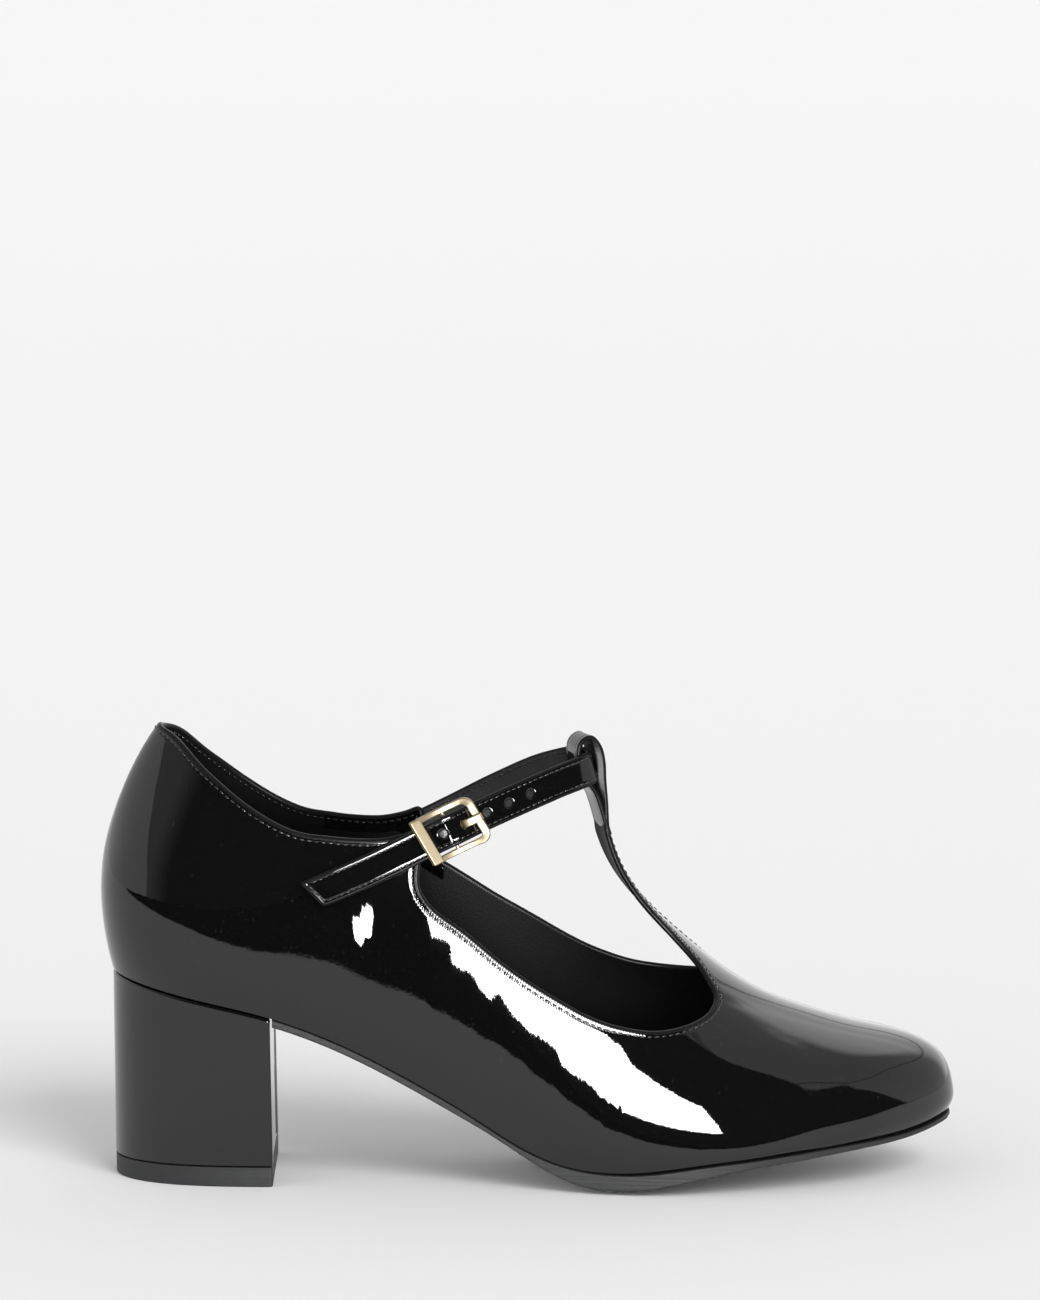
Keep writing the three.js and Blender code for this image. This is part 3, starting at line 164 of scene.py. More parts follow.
class Spline:
    """Natural cubic spline through a table's column, straight past its ends."""

    def __init__(self, knots: Sequence[float], values: Sequence[float]) -> None:
        """Solves for the bends.

        Args:
            knots: rising positions.
            values: the value at each position.
        """
        self.x = np.array(knots, float)
        self.y = np.array(values, float)
        n = len(self.x)
        rows = np.zeros((n, n))
        right = np.zeros(n)
        rows[0, 0] = rows[-1, -1] = 1
        for i in range(1, n - 1):
            a = self.x[i] - self.x[i - 1]
            b = self.x[i + 1] - self.x[i]
            rows[i, i - 1], rows[i, i], rows[i, i + 1] = a, 2 * (a + b), b
            right[i] = 6 * ((self.y[i + 1] - self.y[i]) / b - (self.y[i] - self.y[i - 1]) / a)
        self.m = np.linalg.solve(rows, right)

    def __call__(self, at: Array) -> Array:
        """Values at the given positions."""
        at = np.asarray(at, float)
        x, y, m = self.x, self.y, self.m
        i = np.clip(np.searchsorted(x, at) - 1, 0, len(x) - 2)
        h = x[i + 1] - x[i]
        inside = np.clip(at, x[0], x[-1])
        p = (x[i + 1] - inside) / h
        q = (inside - x[i]) / h
        value = p * y[i] + q * y[i + 1] + ((p**3 - p) * m[i] + (q**3 - q) * m[i + 1]) * h * h / 6
        slope = (y[i + 1] - y[i]) / h + (-(3 * p * p - 1) * m[i] + (3 * q * q - 1) * m[i + 1]) * h / 6
        return value + slope * (at - inside)


def column(table: Sequence[Sequence[float]], key: int, value: int, scale: float) -> Spline:
    """Spline of one column of a table over another."""
    step = SHOE_LENGTH if key == 0 and table is not CROWN else 1.0
    return Spline([row[key] * step for row in table], [row[value] * scale for row in table])


def ramp(low: float, high: float, value: Array) -> Array:
    """Smooth step from 0 at low to 1 at high."""
    q = np.clip((np.asarray(value, float) - low) / (high - low), 0, 1)
    return q * q * (3 - 2 * q)


def round_end(gap: Array, reach: float) -> Array:
    """Rounds the end of a plan outline: 0 at the very end, 1 past the reach."""
    q = np.clip(np.asarray(gap, float) / reach, 0, 1)
    return np.sqrt(np.maximum(0, 1 - (1 - q) ** 3))


def bunched(rib: Array, back: float, front: float) -> Array:
    """Stations along a span, closer together at both ends."""
    return back + (front - back) * (1 - np.cos(np.pi * np.asarray(rib, float))) / 2


def unit(v: Array) -> Array:
    """Vectors made one long."""
    return v / (np.linalg.norm(v, axis=-1, keepdims=True) + TINY)


def spun(ways: Array, turn: Array) -> Array:
    """Directions turned about the upright."""
    c, s = np.cos(turn), np.sin(turn)
    x, y, z = ways.T
    return np.stack([x * c + y * s, y * c - x * s, z], -1)


def distances(line: Array) -> Array:
    """Distance of each point of a line from its first point, along the line."""
    return np.concatenate([[0], np.cumsum(np.linalg.norm(np.diff(line, axis=0), axis=-1))])


def between(at: Array, far: Array, line: Array) -> Array:
    """Points of a line at the given distances."""
    return np.stack([np.interp(at, far, values) for values in line.T], -1)


def softened(padded: Array, offsets: Array) -> Array:
    """Points averaged with their neighbours; offsets are the neighbours' places in widths of the bell."""
    weight = np.exp(-(offsets ** 2) / 2)
    weight /= weight.sum()
    return np.stack([np.convolve(values, weight, "valid") for values in padded.T], -1)


@dataclass
class Last:
    """Outer face of the upper, as ribs over the foot and a strip down to the sole."""

    heel_round: float = 42.0
    toe_round: float = 40.0
    bar_turn: float = 0.3
    foot_gap: float = 0.4
    ball_dip: float = 1.5
    dip_back: tuple[float, float] = (-24.0, 2.0)
    dip_front: tuple[float, float] = (55.0, 25.0)
    bar_front: tuple[float, float] = (0.62, 0.52)
    bar_back: tuple[float, float] = (0.36, 0.3)
    feather_half: Spline = field(default_factory=lambda: column(FEATHER, 0, 1, BALL_WIDTH))
    feather_centre: Spline = field(default_factory=lambda: column(FEATHER, 0, 2, BALL_WIDTH))
    feather_rise: Spline = field(default_factory=lambda: column(FEATHER, 0, 3, SEAT_HEIGHT))
    girth_half: Spline = field(default_factory=lambda: column(GIRTH, 0, 1, BALL_WIDTH))
    girth_centre: Spline = field(default_factory=lambda: column(GIRTH, 0, 2, BALL_WIDTH))
    girth_outer: Spline = field(default_factory=lambda: column(GIRTH, 0, 3, COUNTER_HEIGHT))
    girth_inner: Spline = field(default_factory=lambda: column(GIRTH, 0, 4, COUNTER_HEIGHT))
    crown_at: Spline = field(default_factory=lambda: column(CROWN, 0, 1, SHOE_LENGTH))
    crown_rise: Spline = field(default_factory=lambda: column(CROWN, 0, 2, COUNTER_HEIGHT))
    crown_side: Spline = field(default_factory=lambda: column(CROWN, 0, 3, BALL_WIDTH))
    crown_full: Spline = field(default_factory=lambda: column(CROWN, 0, 4, 1.0))

    @property
    def feather_back(self) -> float:
        """Back end of the feather edge."""
        return FEATHER[0][0] * SHOE_LENGTH

    @property
    def feather_front(self) -> float:
        """Front end of the feather edge."""
        return FEATHER[-1][0] * SHOE_LENGTH

    @property
    def girth_back(self) -> float:
        """Back end of the widest line."""
        return GIRTH[0][0] * SHOE_LENGTH

    @property
    def girth_front(self) -> float:
        """Front end of the widest line."""
        return GIRTH[-1][0] * SHOE_LENGTH

    def ends(self, x: Array, back: float, front: float) -> Array:
        """Rounding of a plan outline at the heel and at the toe."""
        return round_end(x - back, self.heel_round) * round_end(front - x, self.toe_round)

    def rib_point(self, rib: Array, turn: Array) -> Array:
        """Points over the foot.

        Args:
            rib: 0 at the heel to 1 at the toe.
            turn: 0 on the outer widest line to pi on the inner one.

        Returns:
            The points, in millimetres.
        """
        rib = np.asarray(rib, float)
        turn = np.asarray(turn, float)
        x = bunched(rib, self.girth_back, self.girth_front)
        half = self.girth_half(x) * self.ends(x, self.girth_back, self.girth_front)
        centre = self.girth_centre(x)
        c, s = np.cos(turn), np.sin(turn)
        outer = (1 + c) / 2
        low = self.girth_outer(x) * outer + self.girth_inner(x) * (1 - outer)
        lift = s * s
        ridge = self.crown_side(rib)
        y = centre - half * c * (1 + self.crown_full(rib) * lift) + (ridge - centre) * lift
        turned = self.bar_turn * ramp(*self.bar_front, rib) * (1 - ramp(*self.bar_back, rib))
        dx = (self.crown_at(rib) - x) * lift - turned * (y - ridge) * lift
        return np.stack([x + dx, y, low + (self.crown_rise(rib) - low) * s], -1)

    def rib_normal(self, rib: Array, turn: Array, step: float = 2e-4) -> Array:
        """Outward directions of the face over the foot."""
        rib = np.clip(rib, 0.004, 0.996)
        along = self.rib_point(rib + step, turn) - self.rib_point(rib - step, turn)
        over = self.rib_point(rib, turn + step) - self.rib_point(rib, turn - step)
        return unit(np.cross(along, over))

    def seam_rise(self, x: Array) -> Array:
        """Height of the seam between the upper and the sole."""
        return self.feather_rise(x) - self.ball_dip * ramp(*self.dip_back, x) * ramp(*self.dip_front, x)

    def strip_point(self, rib: Array, side: Side, down: Array) -> Array:
        """Points between the widest line (down 0) and the feather edge (down 1)."""
        s = side.value
        gx = bunched(rib, self.girth_back, self.girth_front)
        gy = self.girth_centre(gx) + s * self.girth_half(gx) * self.ends(gx, self.girth_back, self.girth_front)
        gz = self.girth_outer(gx) if side is Side.OUTER else self.girth_inner(gx)
        fx = bunched(rib, self.feather_back, self.feather_front)
        round_off = self.ends(fx, self.feather_back, self.feather_front)
        fy = self.feather_centre(fx) + s * self.feather_half(fx) * round_off
        fz = self.seam_rise(fx) + self.foot_gap
        bend = np.asarray(down, float) ** 2
        return np.stack([gx + (fx - gx) * bend, gy + (fy - gy) * bend, gz + (fz - gz) * down], -1)

    def strip_normal(self, rib: Array, side: Side, down: Array, step: float = 2e-4) -> Array:
        """Outward directions of the strip."""
        rib = np.clip(rib, 0.006, 0.994)
        along = self.strip_point(rib + step, side, down) - self.strip_point(rib - step, side, down)
        low = np.clip(np.asarray(down, float), 0.002, 1.0)
        fall = self.strip_point(rib, side, low + step) - self.strip_point(rib, side, low - step)
        return unit(np.cross(along, fall) * side.value)


def object_from(
    name: str,
    points: Array,
    faces: Sequence[Sequence[int]],
    materials: Sequence[Material],
    normals: Array,
    face_materials: Sequence[int],
) -> Piece:
    """Makes a mesh object from millimetre points.

    Args:
        name: the piece's name.
        points: points before the move to the middle.
        faces: corners of each face, turned outwards.
        materials: the piece's materials.
        normals: a direction for each point, for an even gloss.
        face_materials: each face's material number.

    Returns:
        The object, at the origin.
    """
    mesh = bpy.data.meshes.new(name)
    mesh.from_pydata(((points + SHIFT) * MM).tolist(), [], [tuple(int(i) for i in f) for f in faces])
    for material in materials:
        mesh.materials.append(material)
    mesh.polygons.foreach_set("use_smooth", [True] * len(mesh.polygons))
    mesh.polygons.foreach_set("material_index", [int(i) for i in face_materials])
    mesh.update()
    mesh.normals_split_custom_set_from_vertices(normals.tolist())
    piece = bpy.data.objects.new(name, mesh)
    bpy.context.scene.collection.objects.link(piece)
    return piece


def settle(piece: Piece, nodes: Sequence[str] = ()) -> Piece:
    """Rides a finished piece on the shoe and its nodes, and logs it.

    Args:
        piece: the finished piece.
        nodes: the nodes that the piece stands for.

    Returns:
        The piece.
    """
    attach(piece, "root")
    if nodes:
        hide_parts(*nodes)
    log.info("%s: %d faces", piece.name, len(piece.data.polygons))
    return piece


def inside_loop(points: Array, loop: Array) -> Array:
    """Which flat points lie inside a closed loop."""
    inside = np.zeros(len(points), bool)
    a, b = loop, np.roll(loop, -1, axis=0)
    for p, q in zip(a, b):
        crosses = (p[1] > points[:, 1]) != (q[1] > points[:, 1])
        if crosses.any():
            x = p[0] + (points[:, 1] - p[1]) * (q[0] - p[0]) / (q[1] - p[1] + 1e-15)
            inside ^= crosses & (points[:, 0] < x)
    return inside


def nearest_on(points: Array, starts: Array, ends: Array, block: int = 2000) -> tuple[Array, Array]:
    """Nearest places on a set of straight pieces.

    Args:
        points: the points to measure from.
        starts: first end of each piece.
        ends: second end of each piece.
        block: how many points are measured at a time.

    Returns:
        Distances and nearest places.
    """
    best = np.zeros(len(points))
    foot = np.zeros_like(points)
    edge = ends - starts
    size = (edge**2).sum(-1) + TINY
    for first in range(0, len(points), block):
        some = points[first:first + block]
        t = np.clip(((some[:, None] - starts) * edge).sum(-1) / size, 0, 1)
        near = starts + t[..., None] * edge
        gap = ((some[:, None] - near) ** 2).sum(-1)
        pick = gap.argmin(1)
        rows = np.arange(len(some))
        best[first:first + block] = np.sqrt(gap[rows, pick])
        foot[first:first + block] = near[rows, pick]
    return best, foot


@dataclass(frozen=True)
class CutEdge:
    """Cross-section of a folded leather edge: half round, then a pressed line under the stitches."""

    wall: float = 1.8
    groove_at: float = 2.0
    groove_depth: float = 0.16
    groove_width: float = 0.32
    after: tuple[float, ...] = (1.1, 1.9, 3.0)
    curl: float = 0.0
    curl_reach: float = 4.0
    turns: tuple[float, ...] = (0.42, 0.75, 1.05, 1.32)
    beside: tuple[float, ...] = (-0.62, -0.34, -0.17, 0.0, 0.17, 0.34, 0.62)
    past_roll: tuple[float, float] = (1.05, 1.1)
    steepest: float = 1e-4

    def rows(self) -> tuple[float, ...]:
        """Distances from the edge at which the mesh has a row of points."""
        r = self.wall / 2
        turns = tuple(r * (1 - math.cos(a)) for a in self.turns)
        g = self.groove_at
        foot, clear = self.past_roll
        beside = tuple(g + d for d in self.beside if g + d > r * clear)
        return (0.0,) + turns + (r * foot,) + beside + tuple(g + d for d in self.after)

    def roll(self, gap: Array) -> tuple[Array, Array]:
        """Height and slope of the rolled edge at a distance from it."""
        r = self.wall / 2
        q = np.clip(gap, 0, r)
        square = r * r - (r - q) ** 2
        height = np.sqrt(np.maximum(square, 0)) - r
        slope = np.where(gap < r, (r - q) / np.sqrt(np.maximum(square, self.steepest)), 0.0)
        drop = self.curl * np.exp(-gap / self.curl_reach)
        return height - drop, slope + drop / self.curl_reach

    def groove(self, gap: Array) -> tuple[Array, Array]:
        """Height and slope of the pressed line at a distance from the stitched edge."""
        u = (gap - self.groove_at) / self.groove_width
        dip = self.groove_depth * np.exp(-u * u)
        return -dip, dip * 2 * u / self.groove_width


@dataclass
class LeatherSheet:
    """A trimmed sheet of leather on a surface, with rolled edges; one triangle net serves both faces."""

    place: Callable[[Array, Array], Array]
    facing: Callable[[Array, Array], Array]
    edge: CutEdge
    flat_scale: tuple[float, float] = (1.0, 1.0)
    uv: Optional[Array] = None
    triangles: Optional[Array] = None
    gap: Optional[Array] = None
    toward: Optional[Array] = None
    seam_gap: Optional[Array] = None
    seam_toward: Optional[Array] = None
    stitch_runs: list[Array] = field(default_factory=list)
    probe: float = 0.3
    last_gap: float = 0.55
    row_room: tuple[float, float] = (0.97, 0.01)
    on_edge: float = 1e-3
    same_place: float = 1e-8
    seam_slack: float = 0.12
    shortest_run: int = 5
    rolled_share: float = 0.7

    def project(self, start: Array, target: Array, turns: int = 4, h: float = 1e-4) -> Array:
        """Finds flat places of targets in space.

        Args:
            start: first guess.
            target: points near the surface.
            turns: how often the guess is bettered.
            h: step for the slopes.

        Returns:
            The flat places.
        """
        uv = start.copy()
        for _ in range(turns):
            p = self.place(uv[:, 0], uv[:, 1])
            a = (self.place(uv[:, 0] + h, uv[:, 1]) - p) / h
            b = (self.place(uv[:, 0], uv[:, 1] + h) - p) / h
            e = target - p
            aa, bb, ab = (a * a).sum(-1), (b * b).sum(-1), (a * b).sum(-1)
            ea, eb = (e * a).sum(-1), (e * b).sum(-1)
            det = aa * bb - ab * ab + 1e-9
            uv = uv + np.stack([(ea * bb - eb * ab) / det, (eb * aa - ea * ab) / det], -1)
        return uv

    def build(
        self,
        loops: Sequence[Array],
        open_runs: Sequence[tuple[int, int, int]],
        border: Array,
        spread: Array,
    ) -> None:
        """Makes the net. The first loop is the stitched one.

        Args:
            loops: closed flat loops with leather on their left or right.
            open_runs: (loop, first, last) runs of points joined to another piece and not rolled.
            border: outer closed flat loop that isn't rolled; empty where the first loop is the outside.
            spread: flat points to fill the sheet with.
        """
        starts, ends, seeds = [], [], []
        for k, loop in enumerate(loops):
            p = self.place(loop[:, 0], loop[:, 1])
            skip = np.zeros(len(loop), bool)
            for which, first, last in open_runs:
                if which == k:
                    skip[first:last] = True
            n = np.roll(p, -1, axis=0)
            starts.append(p[~skip])
            ends.append(n[~skip])
            seeds.append((loop, p, skip))
        seam = (starts[0], ends[0])
        starts, ends = np.concatenate(starts), np.concatenate(ends)
        rows = self.edge.rows()
        extra = []
        for loop, p, skip in seeds:
            across = self.sideways(loop, p, skip)
            keep = ~(skip | np.roll(skip, 1))
            for sign in (1, -1):
                for d in rows[1:]:
                    uv = self.project(loop[keep], p[keep] + sign * d * across[keep])
                    extra.append((uv, d))
        flat = [spread]
        limits = [np.full(len(spread), rows[-1] + self.last_gap * (rows[-1] - rows[-2]))]
        for uv, d in extra:
            flat.append(uv)
            limits.append(np.full(len(uv), d * self.row_room[0] - self.row_room[1]))
        flat, limits = np.concatenate(flat), np.concatenate(limits)
        keep = self.within(flat, loops, border)
        flat, limits = flat[keep], limits[keep]
        gap = nearest_on(self.place(flat[:, 0], flat[:, 1]), starts, ends)[0]
        flat = flat[gap >= limits]
        scale = np.array(self.flat_scale)
        fixed = [border] if len(border) else []
        fixed += list(loops)
        count = 0
        lines = []
        for loop in fixed:
            lines += [(count + i, count + (i + 1) % len(loop)) for i in range(len(loop))]
            count += len(loop)
        every = np.concatenate(fixed + [flat]) * scale
        made = delaunay_2d_cdt([Vector(p) for p in every.tolist()], lines, [], 0, 1e-7)
        verts = np.array([tuple(v) for v in made[0]]) / scale
        tris = np.array([f for f in made[2] if len(f) == 3])
        centre = verts[tris].mean(1)
        tris = tris[self.within(centre, loops, border)]
        used = np.unique(tris)
        remap = np.full(len(verts), -1)
        remap[used] = np.arange(len(used))
        self.uv = verts[used]
        self.triangles = remap[tris]
        p = self.place(self.uv[:, 0], self.uv[:, 1])
        normal = self.facing(self.uv[:, 0], self.uv[:, 1])
        self.triangles = agreeing(p, self.triangles, normal)
        self.gap, foot = nearest_on(p, starts, ends)
        self.toward = self.flattened(p - foot, normal)
        self.seam_gap, foot = nearest_on(p, *seam)
        self.seam_toward = self.flattened(p - foot, normal)
        for loop, p0, skip in seeds:
            across = self.inward(loop, p0, skip, loops, border)
            on_edge = np.nonzero(self.gap < self.on_edge)[0]
            q = self.uv[on_edge]
            d = ((q[:, None, :] * scale - loop[None] * scale) ** 2).sum(-1)
            j = d.argmin(1)
            hit = d[np.arange(len(q)), j] < self.same_place
            self.toward[on_edge[hit]] = across[j[hit]]
        self.lay_stitches(seeds[0], seam, loops, border)

    @staticmethod
    def flattened(way: Array, normal: Array) -> Array:
        """Directions laid into the surface."""
        return unit(way - (way * normal).sum(-1, keepdims=True) * normal)

    def lay_stitches(
        self,
        seed: tuple[Array, Array, Array],
        seam: tuple[Array, Array],
        loops: Sequence[Array],
        border: Array,
    ) -> None:
        """Finds the flat runs of the stitch line beside the first loop."""
        loop, p, skip = seed
        uv = self.project(loop, p + self.inward(loop, p, skip, loops, border) * self.edge.groove_at)
        gap = nearest_on(self.place(uv[:, 0], uv[:, 1]), *seam)[0]
        good = (gap > self.edge.groove_at - self.seam_slack) & ~skip
        if good.all():
            self.stitch_runs = [np.vstack([uv, uv[:1]])]
            return
        start = int(np.nonzero(~good)[0][0])
        order = (np.arange(len(uv)) + start) % len(uv)
        run = []
        runs = [run]
        for k in order:
            if good[k]:
                run.append(uv[k])
            elif run:
                run = []
                runs.append(run)
        self.stitch_runs += [np.array(run) for run in runs if len(run) > self.shortest_run]

    def stitches(
        self,
        pitch: float,
        lining: bool = False,
        keep: Optional[Callable[[Array], Array]] = None,
    ) -> Array:
        """Finds the stitches of one face.

        Args:
            pitch: distance from stitch to stitch.
            lining: the inner face instead of the outer one.
            keep: which points get a stitch.

        Returns:
            Rows of point, direction along and direction out.
        """
        rows = []
        for run in self.stitch_runs:
            even = resample(run, self.place, pitch, False)
            middle = (even[:-1] + even[1:]) / 2
            p = self.place(middle[:, 0], middle[:, 1])
            n = self.facing(middle[:, 0], middle[:, 1])
            ahead = unit(np.diff(self.place(even[:, 0], even[:, 1]), axis=0))
            if lining:
                p = p - n * self.edge.wall
                n = -n
            rows.append(np.hstack([p, ahead, n]))
        made = np.vstack(rows)
        return made if keep is None else made[keep(made[:, :3])]

    def sideways(self, loop: Array, points: Array, skip: Array) -> Array:
        """Directions across a loop in the surface; a joined run takes them from its rolled side."""
        after = np.roll(points, -1, axis=0) - points
        before = np.roll(after, 1, axis=0)
        onward = np.where(np.roll(skip, 1)[:, None], after, after + before)
        ahead = unit(np.where(skip[:, None], before, onward))
        return unit(np.cross(self.facing(loop[:, 0], loop[:, 1]), ahead))

    def inward(
        self, loop: Array, points: Array, skip: Array, loops: Sequence[Array], border: Array
    ) -> Array:
        """Directions across a loop, turned towards the leather."""
        across = self.sideways(loop, points, skip)
        probe = self.project(loop, points + self.probe * across)
        return across * np.where(self.within(probe, loops, border), 1.0, -1.0)[:, None]

    def within(self, flat: Array, loops: Sequence[Array], border: Array) -> Array:
        """Which flat points are leather."""
        outline, holes = (border, loops) if len(border) else (loops[0], loops[1:])
        keep = inside_loop(flat, outline)
        for loop in holes:
            keep &= ~inside_loop(flat, loop)
        return keep

    def rolled(self, faces: Array) -> Array:
        """Which triangles lie on the rolled part of the stitched edge."""
        return (self.seam_gap[faces].max(1) < self.edge.groove_at * self.rolled_share).astype(int)

    def face(self, lining: bool = False) -> tuple[Array, Array, Array]:
        """One face of the sheet.

        Args:
            lining: the inner face instead of the outer one.

        Returns:
            Points, triangles turned outwards, and a direction for each point.
        """
        p = self.place(self.uv[:, 0], self.uv[:, 1])
        n = self.facing(self.uv[:, 0], self.uv[:, 1])
        level, slope = self.edge.roll(self.gap)
        turn = self.toward * slope[:, None]
        if lining:
            back = p + n * (-self.edge.wall - level)[:, None]
            return back, self.triangles[:, ::-1], unit(-n - turn)
        dip, dip_slope = self.edge.groove(self.seam_gap)
        turn = turn + self.seam_toward * dip_slope[:, None]
        return p + n * (level + dip)[:, None], self.triangles, unit(n - turn)


def resample(path: Array, place: Callable[[Array, Array], Array], step: float, closed: bool) -> Array:
    """Evenly spaced flat points along a flat path, by distance on the surface."""
    line = np.vstack([path, path[:1]]) if closed else path
    p = place(line[:, 0], line[:, 1])
    far = distances(p)
    count = max(2, int(round(far[-1] / step)))
    even = between(np.linspace(0, far[-1], count + 1), far, line)
    return even[:-1] if closed else even


def eased(points: Array, place: Callable[[Array, Array], Array], step: float, soft: float) -> Array:
    """Open path rounded at its corners, ends kept.

    Args:
        points: flat points.
        place: the surface.
        step: spacing of the result.
        soft: how far corners are rounded.

    Returns:
        The rounded path, evenly spaced.
    """
    fine = resample(points, place, step / 3, False)
    width = int(round(3 * soft / (step / 3)))
    offsets = np.arange(-width, width + 1) * step / 3 / soft
    padded = np.vstack([2 * fine[0] - fine[width:0:-1], fine, 2 * fine[-1] - fine[-2:-width - 2:-1]])
    return resample(softened(padded, offsets), place, step, False)


def catmull(points: Array, per: int = 12) -> Array:
    """Centripetal curve through points, per steps to a span."""
    p = np.vstack([2 * points[0] - points[1], points, 2 * points[-1] - points[-2]])
    out = []
    for i in range(1, len(p) - 2):
        a, b, c, d = p[i - 1:i + 3]
        t0 = 0.0
        t1 = t0 + max(np.linalg.norm(b - a), 1e-9) ** 0.5
        t2 = t1 + max(np.linalg.norm(c - b), 1e-9) ** 0.5
        t3 = t2 + max(np.linalg.norm(d - c), 1e-9) ** 0.5
        t = np.linspace(t1, t2, per, endpoint=False)[:, None]
        a1 = (t1 - t) / (t1 - t0) * a + (t - t0) / (t1 - t0) * b
        a2 = (t2 - t) / (t2 - t1) * b + (t - t1) / (t2 - t1) * c
        a3 = (t3 - t) / (t3 - t2) * c + (t - t2) / (t3 - t2) * d
        b1 = (t2 - t) / (t2 - t0) * a1 + (t - t0) / (t2 - t0) * a2
        b2 = (t3 - t) / (t3 - t1) * a2 + (t - t1) / (t3 - t1) * a3
        out.append((t2 - t) / (t2 - t1) * b1 + (t - t1) / (t2 - t1) * b2)
    return np.vstack(out + [points[-1:]])


def weld(points: Array, faces: Array, normals: Array, marks: Array) -> tuple[Array, Array, Array, Array]:
    """Joins points that lie together and drops flat faces.

    Args:
        points: all points.
        faces: triangles.
        normals: a direction for each point.
        marks: each triangle's material number.

    Returns:
        The joined points, triangles, directions and material numbers.
    """
    keys = np.round(points * WELD_STEPS).astype(np.int64)
    _, first, back = np.unique(keys, axis=0, return_index=True, return_inverse=True)
    back = back.reshape(-1)
    tris = back[faces]
    good = (tris[:, 0] != tris[:, 1]) & (tris[:, 1] != tris[:, 2]) & (tris[:, 0] != tris[:, 2])
    return points[first], tris[good], normals[first], marks[good]


def grid_faces(rows: int, columns: int, closed: bool = False) -> Array:
    """Triangles of a grid of points, row after row."""
    out = []
    span = columns if closed else columns - 1
    for i in range(rows - 1):
        for j in range(span):
            k = (j + 1) % columns
            a, b, c, d = i * columns + j, i * columns + k, (i + 1) * columns + k, (i + 1) * columns + j
            out += [(a, b, c), (a, c, d)]
    return np.array(out)


def agreeing(points: Array, faces: Array, normals: Array) -> Array:
    """Triangles turned, all together, so that they face as the points' directions do."""
    a, b, c = (points[faces[:, k]] for k in range(3))
    facing = (np.cross(b - a, c - a) * normals[faces[:, 0]]).sum()
    return faces if facing > 0 else faces[:, ::-1]


def grid_normals(grid: Array, closed: bool) -> Array:
    """Directions at the points of a grid, from its neighbours."""
    along = np.gradient(grid, axis=0)
    if closed:
        over = (np.roll(grid, -1, axis=1) - np.roll(grid, 1, axis=1)) / 2
    else:
        over = np.gradient(grid, axis=1)
    return unit(np.cross(over, along))


@dataclass
class Frames:
    """A path with a cross direction and an outward direction at each of its points."""

    origin: Array
    across: Array
    out: Array
    tangent: Array
    at: Array


